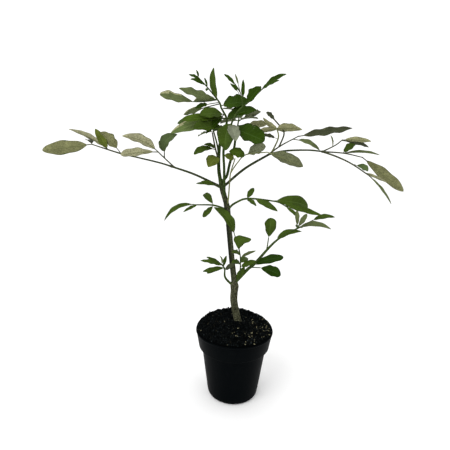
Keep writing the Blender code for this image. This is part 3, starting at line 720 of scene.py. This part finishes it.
def leaf_look(name, colour, rough, under=False):
    """A leaf's skin: mottled green, its paler midrib and side veins sunk above and raised below."""
    look = Look(name)
    at = look.node("ShaderNodeUVMap", {"uv_map": "blade"})
    across, along, _ = look.split(at)
    off = (across - 0.5).math("ABSOLUTE") * 2
    # side veins leave the midrib at a slant and curve towards the tip
    course = along * 8.5 - off.math("POWER", 1.3) * 1.5
    vein = (1 - course.math("PINGPONG", 0.5).between(0.0, 0.1)) * (1 - off.between(0.72, 0.98))
    rib = 1 - off.between(0.02, 0.1)
    lines = (vein * 0.55).math("MAXIMUM", rib)
    cloud = look.noise(look.place(), 0.07, 3.0)
    fine = look.noise(look.place(), 0.5 if under else 0.9, 4.0, 0.65)
    base = look.mix(cloud.between(0.3, 0.72), tone(colour, 0.78), tone(colour, 1.2))
    if under:
        base = look.mix(fine.between(0.38, 0.5) * 0.75, tone(colour, 0.5), base)
        base = look.mix(fine.between(0.55, 0.68) * 0.5, base, tone(colour, 1.4))
    else:
        base = look.mix(fine.between(0.45, 0.75) * 0.35, base, tone(colour, 0.8))
    vein_tint = tone(colour, 1.15) if under else tuple(c * 1.5 + 0.012 for c in colour)
    base = look.mix(lines * (0.45 if under else 0.6), base, vein_tint)
    height = lines * (1.0 if under else -1.0) + fine * 0.25
    return look.finish(
        Base_Color=base,
        Roughness=rough + fine * 0.14,
        Normal=look.bump(height, 0.5, 0.35),
        Specular_IOR_Level=0.03 if under else 0.05,
    )


def make_leaf_looks():
    """For each dress, the looks of its upper side and underside, and the pale rim that some leaves show."""
    looks = {"rim": leaf_look("leaf_rim_pale", PALE_RIM, 0.5, under=True)}
    for name, (upper, under, rough) in DRESS.items():
        looks[name] = (
            leaf_look("leaf_" + name, upper, rough),
            leaf_look("leaf_" + name + "_under", under, 0.56, under=True),
        )
    return looks


# Meshes


def add(name, data):
    obj = bpy.data.objects.new(name, data)
    bpy.context.scene.collection.objects.link(obj)
    return obj


def new_piece(name, points, faces, looks, smooth=True):
    mesh = bpy.data.meshes.new(name)
    mesh.from_pydata([tuple(Vector(p) * MM) for p in points], [], faces)
    for look in looks:
        mesh.materials.append(look)
    if smooth:
        mesh.shade_smooth()
    return add(name, mesh)


def keep(obj, slot, *nodes):
    """Declares a finished piece: it rides on the root and stands for these CAD nodes."""
    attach(obj, "root")
    if nodes:
        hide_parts(*nodes)


def spoke(k, sides, x=Vector((1.0, 0.0, 0.0)), y=Vector((0.0, 1.0, 0.0))):
    """The kth of evenly spread directions around a circle."""
    turn = math.tau * k / sides
    return x * math.cos(turn) + y * math.sin(turn)


def turned(profile, sides):
    """Points and faces of a closed ring of (radius, height) places turned about the pot's axis."""
    points = [spoke(k, sides) * r + UP * z for r, z in profile for k in range(sides)]
    faces = []
    for i in range(len(profile)):
        j = (i + 1) % len(profile)
        for k in range(sides):
            m = (k + 1) % sides
            faces.append((i * sides + k, i * sides + m, j * sides + m, j * sides + k))
    return points, faces


def rounded(corners, steps=5):
    """The profile's places with each corner (radius, height, rounding) turned into a small curve."""
    out = []
    for i, (r, z, size) in enumerate(corners):
        here = Vector((r, z))
        if not size:
            out.append(here)
            continue
        before = Vector(corners[i - 1][:2]) - here
        after = Vector(corners[(i + 1) % len(corners)][:2]) - here
        start = here + before.normalized() * min(size, before.length * 0.48)
        end = here + after.normalized() * min(size, after.length * 0.48)
        for s in range(steps + 1):
            t = s / steps
            out.append(start * (1 - t) ** 2 + here * (2 * t * (1 - t)) + end * t**2)
    return [(p.x, p.y) for p in out]


def make_pot(look):
    """The pot's shell with its rounded foot, shoulder step, flared band and a rim that is rolled a little."""
    corners = [
        (0.0, 0.0, 0), (UNDERSIDE_R, 0.0, 2.0), (UNDERSIDE_R + 3.4, 1.6, 2.4),
        (BODY_FOOT_R, BODY_FOOT_Z, 5.0),
        (SHOULDER_R, SHOULDER_Z, 1.2), (BAND_FOOT_R, BAND_FOOT_Z, 0.9), (RIM_R - 0.9, RIM_Z - 3.2, 0.8),
        (RIM_R, RIM_Z - 2.6, 0.7), (RIM_R, RIM_Z, 0.9), (RIM_R - WALL, RIM_Z, 0.6),
        (RIM_R - WALL - 0.8, RIM_Z - 4.0, 0.6), (BAND_FOOT_R - WALL, BAND_FOOT_Z + 0.4, 1.5),
        (SHOULDER_R - WALL, SHOULDER_Z + 0.4, 1.5), (BODY_FOOT_R - WALL, BODY_FOOT_Z + 0.6, 3.0),
        (UNDERSIDE_R + 1.0, FLOOR, 1.0), (0.0, FLOOR, 0),
    ]  # fmt: skip
    profile = rounded(corners)[1:-1]
    points, faces = turned(profile, POT_SIDES)
    last = (len(profile) - 1) * POT_SIDES
    faces = faces[:last]
    for first, z, up in ((0, 0.0, False), (last, FLOOR, True)):
        points.append(UP * z)
        for k in range(POT_SIDES):
            a, b = first + k, first + (k + 1) % POT_SIDES
            faces.append((a, b, len(points) - 1) if up else (b, a, len(points) - 1))
    obj = new_piece("pot_shell", points, faces, [look])
    obj.data.set_sharp_from_angle(angle=math.radians(POT_SHARP))
    keep(obj, "pot_plastic", "pot")


def mix_height(x, y):
    """The mix's upper surface: a low heap with lumps, level at the trunk's foot."""
    r = math.hypot(x, y) / MIX_EDGE_R
    edge = RIM_Z + MIX_LIP
    heap = (HEAP - MIX_LIP) * (1 - min(r, 1.0) ** 2.6)
    lumps = math.sin(x * 0.21 + 1.3) * math.cos(y * 0.26 - 0.4) + 0.6 * math.sin(x * 0.4 - y * 0.33)
    turn = math.atan2(y, x)
    crest = max(math.sin(turn), 0.0) ** 0.6 * (1 + 0.2 * math.sin(5 * turn))
    back = CREST * crest * math.exp(-(((r - 0.86) / 0.15) ** 2))
    foot = math.hypot(x - TRUNK_FOOT.x, y - TRUNK_FOOT.y)
    share = clamp((foot - PAD_R) / PAD_FADE)
    rough = edge + heap + MIX_LUMP * lumps * (1 - r**4) + back
    return (RIM_Z + HEAP) * (1 - share) + rough * share


def foot_mound(x, y):
    """The mix pushed up against the trunk's foot, most on its left and towards the viewer."""
    x, y = x - TRUNK_FOOT.x, y - TRUNK_FOOT.y
    lean = 1 + MOUND_LEAN * math.cos(math.atan2(y, x) - math.radians(MOUND_BEARING))
    return MOUND * lean * math.exp(-(((math.hypot(x, y) - 4) / 6) ** 2))


def rear_clods(x, y):
    """Clods along the heap's rear edge, highest towards its left."""
    turn = math.atan2(y, x)
    most = max(math.cos(turn - math.radians(CLODS_BEARING)), 0.0)
    row = max(math.sin(turn), 0.0) ** 0.6 * (0.55 + 0.45 * most)
    lumps = 0.8 + noise.noise(Vector((x, y, 0.0)) * 0.42) + 0.8 * noise.noise(Vector((x, y, 9.0)) * 0.95)
    share = math.hypot(x, y) / MIX_EDGE_R
    return CLODS * row * max(lumps, 0.0) * math.exp(-(((share - 0.9) / 0.1) ** 2))


def make_mix(look):
    """The heap's rough surface, with its sides and underside inside the pot."""
    points, faces = [], []
    for i in range(MIX_RINGS):
        share = 1 - i / MIX_RINGS
        for k in range(MIX_SIDES):
            x, y, _ = spoke(k, MIX_SIDES) * (MIX_EDGE_R * share)
            at = Vector((x, y, 0.0))
            rough = noise.noise(at * 0.16) * 1.6 + noise.noise(at * 0.42) * 1.1 + noise.noise(at * 0.9) * 0.6
            level = mix_height(x, y) + foot_mound(x, y) + rear_clods(x, y) - 0.5
            level += rough * min(1.0, (1 - share) * 5 + 0.35)
            points.append(Vector((x, y, max(level, MIX_LOWEST))))
    top_centre = len(points)
    points.append(UP * mix_height(0.0, 0.0))
    side = WALL + MIX_GAP
    below = (
        (RIM_R - side, RIM_Z + MIX_GAP), (BAND_FOOT_R - side, BAND_FOOT_Z + 0.8),
        (SHOULDER_R - side, SHOULDER_Z + 0.7), (BODY_FOOT_R - side, BODY_FOOT_Z + 0.9),
        (UNDERSIDE_R, MIX_FOOT_Z),
    )  # fmt: skip
    first = len(points)
    for r, z in below:
        points += [spoke(k, MIX_SIDES) * r + UP * z for k in range(MIX_SIDES)]
    points.append(UP * MIX_FOOT_Z)

    def ring(i, k):
        return i * MIX_SIDES + k % MIX_SIDES

    for k in range(MIX_SIDES):
        for i in range(MIX_RINGS - 1):
            faces.append((ring(i, k), ring(i, k + 1), ring(i + 1, k + 1), ring(i + 1, k)))
        faces.append((ring(MIX_RINGS - 1, k), ring(MIX_RINGS - 1, k + 1), top_centre))
        faces.append((first + (k + 1) % MIX_SIDES, ring(0, k + 1), ring(0, k), first + k))
        for i in range(len(below) - 1):
            a, b = first + ring(i, k), first + ring(i, k + 1)
            faces.append((b, a, a + MIX_SIDES, b + MIX_SIDES))
        a, b = first + ring(len(below) - 1, k), first + ring(len(below) - 1, k + 1)
        faces.append((b, a, len(points) - 1))
    obj = new_piece("mix_heap", points, faces, [look])
    obj.data.set_sharp_from_angle(angle=math.radians(MIX_SHARP))
    keep(obj, "potting_mix", "soil")
    return obj


# Geometry Nodes


class Tree:
    """A Geometry Nodes tree with named inputs, which ends in Realize Instances and Set Material."""

    def __init__(self, name, inputs):
        self.tree = bpy.data.node_groups.new(name, "GeometryNodeTree")
        face = self.tree.interface
        face.new_socket("Geometry", in_out="INPUT", socket_type="NodeSocketGeometry")
        for key, kind in inputs.items():
            face.new_socket(key, in_out="INPUT", socket_type="NodeSocket" + kind)
        face.new_socket("Geometry", in_out="OUTPUT", socket_type="NodeSocketGeometry")
        self.given = self.tree.nodes.new("NodeGroupInput").outputs

    def node(self, kind, settings=None, values=None, out=0):
        """Adds a node and gives one of its outputs."""
        made = self.tree.nodes.new(kind)
        for key, value in (settings or {}).items():
            setattr(made, key, value)
        for key, value in (values or {}).items():
            if isinstance(value, bpy.types.NodeSocket):
                self.tree.links.new(value, made.inputs[key])
            else:
                made.inputs[key].default_value = value
        return made.outputs[out] if made.outputs else made

    def close(self, geometry):
        real = self.node("GeometryNodeRealizeInstances", None, {0: geometry})
        look = self.given["Material"]
        done = self.node("GeometryNodeSetMaterial", None, {0: real, "Material": look})
        self.node("NodeGroupOutput", None, {0: done})

    def grow(self, name, mesh, values):
        """Runs the tree on a mesh and keeps the result as a new object with a plain mesh."""
        seed = add(name + "_seed", mesh)
        run = seed.modifiers.new("grow", "NODES")
        run.node_group = self.tree
        for item in self.tree.interface.items_tree:
            if item.in_out == "INPUT" and item.name in values:
                run[item.identifier] = values[item.name]
        graph = bpy.context.evaluated_depsgraph_get()
        made = bpy.data.meshes.new_from_object(seed.evaluated_get(graph))
        made.name = name
        bpy.data.objects.remove(seed)
        return add(name, made)


def stem_tree():
    """Round skins along lines of points, as thick as their girth says."""
    tree = Tree("skins_along_stems", {"Around": "Int", "Material": "Material"})
    line = tree.node("GeometryNodeMeshToCurve", None, {0: tree.given["Geometry"]})
    girth = tree.node("GeometryNodeInputNamedAttribute", {"data_type": "FLOAT"}, {"Name": "girth"})
    ring = tree.node(
        "GeometryNodeCurvePrimitiveCircle", None, {"Resolution": tree.given["Around"], "Radius": 1.0}
    )
    values = {"Curve": line, "Profile Curve": ring, "Scale": girth, "Fill Caps": True}
    skin = tree.node("GeometryNodeCurveToMesh", None, values)
    tree.close(skin)
    return tree


CRUMB_INPUTS = {
    "Per Square Metre": "Float", "Apart": "Float", "Small": "Vector", "Large": "Vector", "Seed": "Int",
    "Lean": "Float", "Rounds": "Int",
}  # fmt: skip


def scatter_tree():
    """Rough pebbles strewn over the mix, each turned and sized by a fixed seed."""
    tree = Tree("crumbs_on_mix", {**CRUMB_INPUTS, "Material": "Material"})
    given = tree.given
    weight = tree.node("GeometryNodeInputNamedAttribute", {"data_type": "FLOAT"}, {"Name": "strewn"})
    even = tree.node("ShaderNodeMix", {"data_type": "FLOAT"}, {0: given["Lean"], 2: 1.0, 3: weight})
    upper = tree.node("GeometryNodeInputNamedAttribute", {"data_type": "FLOAT"}, {"Name": "upper"})
    spread = tree.node("ShaderNodeMath", {"operation": "MULTIPLY"}, {0: even, 1: upper})
    spots = tree.node(
        "GeometryNodeDistributePointsOnFaces", {"distribute_method": "POISSON"},
        {"Mesh": given["Geometry"], "Distance Min": given["Apart"], "Density Max": given["Per Square Metre"],
         "Density Factor": spread, "Seed": given["Seed"]},
    )  # fmt: skip
    pebble = tree.node("GeometryNodeMeshIcoSphere", None, {"Radius": 1.0, "Subdivisions": given["Rounds"]})
    place = tree.node("GeometryNodeInputPosition")
    ruffle = tree.node("ShaderNodeTexNoise", None, {"Vector": place, "Scale": 1.3, "Detail": 1.0}, "Color")
    push = tree.node("ShaderNodeVectorMath", {"operation": "SUBTRACT"}, {0: ruffle, 1: (0.5,) * 3})
    far = tree.node("ShaderNodeVectorMath", {"operation": "SCALE"}, {0: push, "Scale": 1.3})
    rough = tree.node("GeometryNodeSetPosition", None, {"Geometry": pebble, "Offset": far})
    spin = tree.node(
        "FunctionNodeRandomValue", {"data_type": "FLOAT_VECTOR"},
        {0: (0.0, 0.0, 0.0), 1: (math.tau,) * 3, "Seed": given["Seed"]},
    )  # fmt: skip
    turn = tree.node("FunctionNodeEulerToRotation", None, {0: spin})
    size = tree.node(
        "FunctionNodeRandomValue", {"data_type": "FLOAT_VECTOR"},
        {0: given["Small"], 1: given["Large"], "Seed": given["Seed"]},
    )  # fmt: skip
    values = {"Points": spots, "Instance": rough, "Rotation": turn, "Scale": size}
    strewn = tree.node("GeometryNodeInstanceOnPoints", None, values)
    tree.close(strewn)
    return tree


def make_crumbs(heap):
    """Dark crumbs all over the mix, paler bark and grit mostly at the front right, and a few long fibres."""
    mesh = heap.data.copy()
    mesh.materials.clear()
    strewn = mesh.attributes.new("strewn", "FLOAT", "POINT")
    upper = mesh.attributes.new("upper", "FLOAT", "POINT")
    for i, v in enumerate(mesh.vertices):
        x, y, z = v.co / MM
        right_front = (x - y) / MIX_EDGE_R
        patch = noise.noise(Vector((x, y, 0.0)) * 0.07) + 0.5
        strewn.data[i].value = clamp(0.18 + 0.45 * right_front, 0.08) * clamp(patch, 0.1)
        upper.data[i].value = float(z > CRUMBS_FROM_Z and math.hypot(x, y) < CRUMBS_TO_R)
    kinds = {
        "crumbs_dark": (
            (260000.0, 0.0011, (0.0004, 0.0004, 0.0004), (0.0018, 0.0015, 0.0012), 4, 0.0, 1),
            ((0.0005, 0.0008, 0.0009), (0.0046, 0.0062, 0.0064), 0.5),
        ),
        "crumbs_pale": (
            (46000.0, 0.0024, (0.0005, 0.0004, 0.0003), (0.0028, 0.0018, 0.0012), 12, 1.0, 2),
            ((0.022, 0.022, 0.014), (0.25, 0.235, 0.14), 0.35),
        ),
        "crumbs_grey": (
            (30000.0, 0.0024, (0.0005, 0.0004, 0.0003), (0.0017, 0.0013, 0.0009), 23, 0.3, 2),
            ((0.006, 0.009, 0.010), (0.036, 0.045, 0.046), 0.4),
        ),
        "mix_fibres": (
            (16000.0, 0.003, (0.0015, 0.0002, 0.0002), (0.0045, 0.0004, 0.0003), 37, 0.5, 1),
            ((0.012, 0.011, 0.007), (0.060, 0.054, 0.030), 0.4),
        ),
    }  # fmt: skip
    tree = scatter_tree()
    for name, (sizes, (dark, light, patch)) in kinds.items():
        look = crumb_look(name, dark, light, patch)
        values = dict(zip(CRUMB_INPUTS, sizes))
        keep(tree.grow(name, mesh, {**values, "Material": look}), "potting_mix")


def spine_mesh(name, spines):
    """Lines of points with their girth, for the stem tree."""
    points, edges, girths = [], [], []
    for spine in spines:
        edges += [(len(points) + i, len(points) + i + 1) for i in range(len(spine) - 1)]
        points += [tuple(p * MM) for p, _ in spine]
        girths += [g * MM for _, g in spine]
    mesh = bpy.data.meshes.new(name + "_lines")
    mesh.from_pydata(points, edges, [])
    girth = mesh.attributes.new("girth", "FLOAT", "POINT")
    girth.data.foreach_set("value", girths)
    return mesh


# The bark


def bark_relief(at, old):
    """How far the bark stands out at a place: ridges, warty lenticels and, on old wood, furrows."""
    tall = Vector((at.x, at.y, at.z * 0.4))
    ridge = noise.noise(tall * 0.9) * 0.24 + noise.noise(tall * 2.1) * 0.12
    wart = max(0.34 - noise.voronoi(Vector((at.x, at.y, at.z * 1.5)) * 0.36)[0][0], 0.0)
    scar = max(math.sin(at.z * 0.37 + noise.noise(at * 0.15) * 3) - 0.82, 0.0)
    return (ridge + wart) * (0.2 + 0.8 * old) + scar * 0.8


def limb_skin(points, faces, marks, spine, girth, coat, sides):
    """A closed skin around one limb's spine, with the bark's relief and marks for its colours."""
    side, first = None, len(points)
    for i, (along, place) in enumerate(spine):
        before, after = spine[max(i - 1, 0)][1], spine[min(i + 1, len(spine) - 1)][1]
        way = (after - before).normalized()
        side = (side - way * side.dot(way)).normalized() if side else way.orthogonal().normalized()
        across = way.cross(side)
        r = girth(along)
        old = clamp((r - YOUNG_R) / AGEING)
        for k in range(sides):
            out = spoke(k, sides, side, across)
            spot = place + out * r
            points.append(spot + out * bark_relief(spot, old) * min(1.0, r / 3))
            marks.append((old, *coat(along, out)))
    for i in range(len(spine) - 1):
        a = first + i * sides
        for k in range(sides):
            m = (k + 1) % sides
            faces.append((a + k, a + m, a + sides + m, a + sides + k))
    last = first + (len(spine) - 1) * sides
    for place, ring, flip in ((spine[0][1], first, True), (spine[-1][1], last, False)):
        points.append(place)
        marks.append(marks[ring])
        for k in range(sides):
            pair = (ring + k, ring + (k + 1) % sides)
            faces.append((*(pair[::-1] if flip else pair), len(points) - 1))


def make_bark(limb, look):
    """The trunk and all boughs in one piece, each bough swollen where it leaves the wood it grows from."""
    points, faces, marks = [], [], []
    for name, stem in limb.items():
        spine = stem.smooth(BARK_STEPS)

        def coat(along, out, name=name):
            """How green the wood is, and how much painted shade darkens its left side above the trunk's node.
            """
            if name != "trunk":
                return FRESH.get(name, FRESH_ELSE), 0.0
            # painted shade, most on the trunk's left side, towards -X
            side = clamp(0.35 - out.x * 1.8)
            painted_shade = side * clamp((along - PAINTED_SHADE_FROM) / 30) * clamp((PAINTED_SHADE_TO - along) / 20)
            return clamp((along - GREEN_FROM) / GREEN_OVER), painted_shade

        if name == "trunk":
            foot = TRUNK_FOOT - UP * BURIED
            spine = [(-BURIED, foot)] + spine

            def girth(along, trunk=stem):
                flare = (FLARE_R - TRUNK_R) * max(1 - max(along, 0.0) / FLARE_HEIGHT, 0) ** 2
                return trunk.radius(max(along, 0.0)) + flare - TRUNK_LESS

            limb_skin(points, faces, marks, spine, girth, coat, TRUNK_SIDES)
        else:

            def girth(along, bough=stem, swell=stem.radii[0] * BOUGH_SWELL):
                return bough.radius(along) + BOUGH_MORE + swell * max(1 - along / SWELL_REACH, 0) ** 2

            limb_skin(points, faces, marks, spine, girth, coat, BOUGH_SIDES)
    bark = new_piece("bark", points, faces, [look])
    for name, values in zip(BARK_MARKS, zip(*marks)):
        bark.data.attributes.new(name, "FLOAT", "POINT").data.foreach_set("value", values)
    keep(bark, "bark", *limb)


# The leaves and twigs


def blade(leaf):
    """One leaf's closed skin: points, faces, each face's corners (across, along) and 1 above or 0 below."""
    n, m = BLADE_STATIONS, len(BLADE_ACROSS)
    rows, normals = [], []

    def place(u, s):
        t = leaf.stalk + (1 - leaf.stalk) * u
        half = leaf.half(u) * (1 + 0.06 * math.sin(math.tau * 2.3 * u + leaf.phase[s < 0]))
        ripple = leaf.wave * math.sin(math.tau * leaf.ripples * u + leaf.phase[s > 0])
        ripple *= math.sin(math.pi * u) ** 0.5
        lift = half * (math.sin(leaf.fold) * abs(s) ** 1.25 + ripple * s * s)
        across = half * math.cos(leaf.fold) * s
        return leaf.rib(t) + leaf.side * across + leaf.up * lift

    stations = [0.5 - 0.5 * math.cos(math.pi * (i + 0.7) / (n + 0.4)) for i in range(n)]
    for u in stations:
        rows.append([place(u, s) for s in BLADE_ACROSS])
    for i in range(n):
        normals.append([])
        for j in range(m):
            along = rows[min(i + 1, n - 1)][j] - rows[max(i - 1, 0)][j]
            across = rows[i][min(j + 1, m - 1)] - rows[i][max(j - 1, 0)]
            normals[-1].append(across.cross(along).normalized())
    points = [p for row in rows for p in row]
    below = {}
    for i in range(n):
        thin = 0.4 + 0.6 * math.sin(math.pi * min(stations[i] * 1.5, 1.0) * 0.5)
        for j in range(1, m - 1):
            below[i, j] = len(points)
            thick = BLADE_THICK * thin * (1 - 0.6 * abs(BLADE_ACROSS[j]))
            points.append(rows[i][j] - normals[i][j] * thick)
        points[i * m + m // 2] = rows[i][m // 2] - normals[i][m // 2] * 0.12
    base, tip = len(points), len(points) + 1
    points += [leaf.rib(leaf.stalk), leaf.rib(1.0)]

    def upper(i, j):
        return i * m + j

    def lower(i, j):
        return below.get((i, j), i * m + j)

    def mark(i, j):
        return (0.5 + BLADE_ACROSS[j] / 2, stations[i])

    faces, marks, sides = [], [], []
    ends = ((base, 0, 0.0, False), (tip, n - 1, 1.0, True))
    for at, above in ((upper, 1), (lower, 0)):
        for j in range(m - 1):
            for i in range(n - 1):
                corners = [(i, j), (i, j + 1), (i + 1, j + 1), (i + 1, j)]
                corners = corners if above else corners[::-1]
                faces.append(tuple(at(*c) for c in corners))
                marks.append([mark(*c) for c in corners])
                sides.append(above)
            for end, i, v, flip in ends:
                pair = [(i, j), (i, j + 1)]
                pair = pair if flip == bool(above) else pair[::-1]
                faces.append((at(*pair[0]), at(*pair[1]), end))
                marks.append([mark(*pair[0]), mark(*pair[1]), (0.5, v)])
                sides.append(above)
    return points, faces, marks, sides


def make_leaves(name, masses, plans, looks):
    """The leaves of several masses as one piece, each with the looks of its dress."""
    points, faces, corners, slots, used = [], [], [], [], []

    def slot_of(look):
        if look not in used:
            used.append(look)
        return used.index(look)

    for mass in masses:
        for leaf in plans[mass].leaves:
            p, f, marks, sides = blade(leaf)
            faces += [tuple(len(points) + v for v in face) for face in f]
            points += p
            upper, under = (slot_of(look) for look in looks[leaf.dress])
            rim = slot_of(looks["rim"]) if leaf.rim else None
            for mark, above in zip(marks, sides):
                corners += mark
                across, along = (sum(c[i] for c in mark) / len(mark) for i in (0, 1))
                pale = (across - 0.5) * 2 * leaf.rim > 1.1 - 0.6 * along
                slots.append(rim if leaf.rim and above and pale else upper if above else under)
    obj = new_piece(name, points, faces, used)
    obj.data.polygons.foreach_set("material_index", slots)
    layer = obj.data.uv_layers.new(name="blade")
    layer.data.foreach_set("uv", [c for corner in corners for c in corner])
    keep(obj, "leaf_green", *masses)


def leaf_line(leaf, first, last, steps):
    """The stalk or the midrib under the blade, between two shares of the way from the twig to the tip."""
    size = min(leaf.length / 45, 1.15)
    out = []
    for k in range(steps + 1):
        t = first + (last - first) * k / steps
        on_blade = clamp((t - leaf.stalk) / 0.08)
        girth = (0.62 * (1 - on_blade) + 0.46 * (1 - t) * on_blade + 0.1) * size
        out.append((leaf.rib(t) - leaf.up * (MIDRIB_SUNK * on_blade), girth))
    return out


def twig_girth(stem, along):
    """Half a twig's thickness, swollen where it leaves its parent."""
    return stem.radius(along) * (TWIG_MORE + TWIG_SWELL * max(1 - along / 5, 0) ** 2)


def make_twigs(plans):
    """Every mass's twigs and leaf stalks, joined by their colour, with all the midribs in the pale one."""
    tree = stem_tree()
    for bark, colour in BARKS.items():
        spines, masses = [], []
        for mass, plan in plans.items():
            mine = [s for s in plan.stems if s.bark == bark]
            for stem in mine:
                spines.append([(p, twig_girth(stem, a)) for a, p in stem.smooth(TWIG_STEPS)])
            for leaf in plan.leaves:
                if leaf.bark == bark:
                    spines.append(leaf_line(leaf, 0.0, leaf.stalk + 0.04, STALK_STEPS))
                if bark == "pale":
                    spines.append(leaf_line(leaf, leaf.stalk + 0.02, 0.93, MIDRIB_STEPS))
            masses += [mass] if mine else []
        name = "twigs_" + bark
        look = twig_look(bark, colour)
        obj = tree.grow(name, spine_mesh(name, spines), {"Around": TWIG_SIDES, "Material": look})
        obj.data.shade_smooth()
        keep(obj, "leaf_green", *masses)


# The stage


def make_camera():
    tilt, roll = math.radians(CAMERA_DOWN), math.radians(CAMERA_ROLL)
    forward = Vector((0.0, math.cos(tilt), -math.sin(tilt)))
    level, up = Vector((1.0, 0.0, 0.0)), Vector((0.0, math.sin(tilt), math.cos(tilt)))
    x = level * math.cos(roll) + up * math.sin(roll)
    y = up * math.cos(roll) - level * math.sin(roll)
    data = bpy.data.cameras.new("photo_camera")
    data.sensor_width = SENSOR
    data.lens = SENSOR * FOCAL / PHOTO_WIDE
    camera = add("photo_camera", data)
    turn = Matrix((x, y, -forward)).transposed().to_4x4()
    camera.matrix_world = Matrix.Translation(CAMERA_AT) @ turn
    bpy.context.scene.camera = camera


def make_floor():
    look = Look("floor_paper")
    grain = look.noise(look.place(), 0.02, 2.0)
    base = look.mix(grain * 0.3, (0.92, 0.92, 0.92), (0.88, 0.88, 0.88))
    made = look.finish(Base_Color=base, Roughness=0.9, Specular_IOR_Level=0.1)
    corners = [(x * FLOOR_REACH, y * FLOOR_REACH, 0.0) for x, y in ((-1, -1), (1, -1), (1, 1), (-1, 1))]
    floor = new_piece("floor", corners, [(0, 1, 2, 3)], [made], smooth=False)


def light_the_stage():
    world = bpy.data.worlds.new("studio")
    world.use_nodes = True
    back = world.node_tree.nodes["Background"]
    back.inputs["Color"].default_value = (1.0, 1.0, 1.0, 1.0)
    back.inputs["Strength"].default_value = SKY
    bpy.context.scene.world = world
    panel = bpy.data.lights.new("key_panel", "AREA")
    panel.shape, panel.size, panel.energy = "SQUARE", KEY_SIZE, KEY_POWER
    lamp = add("key_panel", panel)
    lamp.location = KEY_AT
    lamp.rotation_euler = (KEY_AIM - KEY_AT).to_track_quat("-Z", "Y").to_euler()
    bpy.context.scene.view_settings.view_transform = "Standard"


# The whole plant


def main():
    limb = grow_limbs()
    plans = {}
    for seed, (name, (grow, dress, bark)) in enumerate(MASSES.items()):
        plans[name] = Plan(seed, dress, bark)
        grow(limb, plans[name])
    make_camera()
    make_floor()
    light_the_stage()
    make_pot(plastic_look())
    make_crumbs(make_mix(mix_look()))
    make_bark(limb, bark_look())
    looks = make_leaf_looks()
    for name, masses in LEAF_GROUPS.items():
        make_leaves(name, masses, plans, looks)
    make_twigs(plans)


main()
bpy.context.view_layer.update()
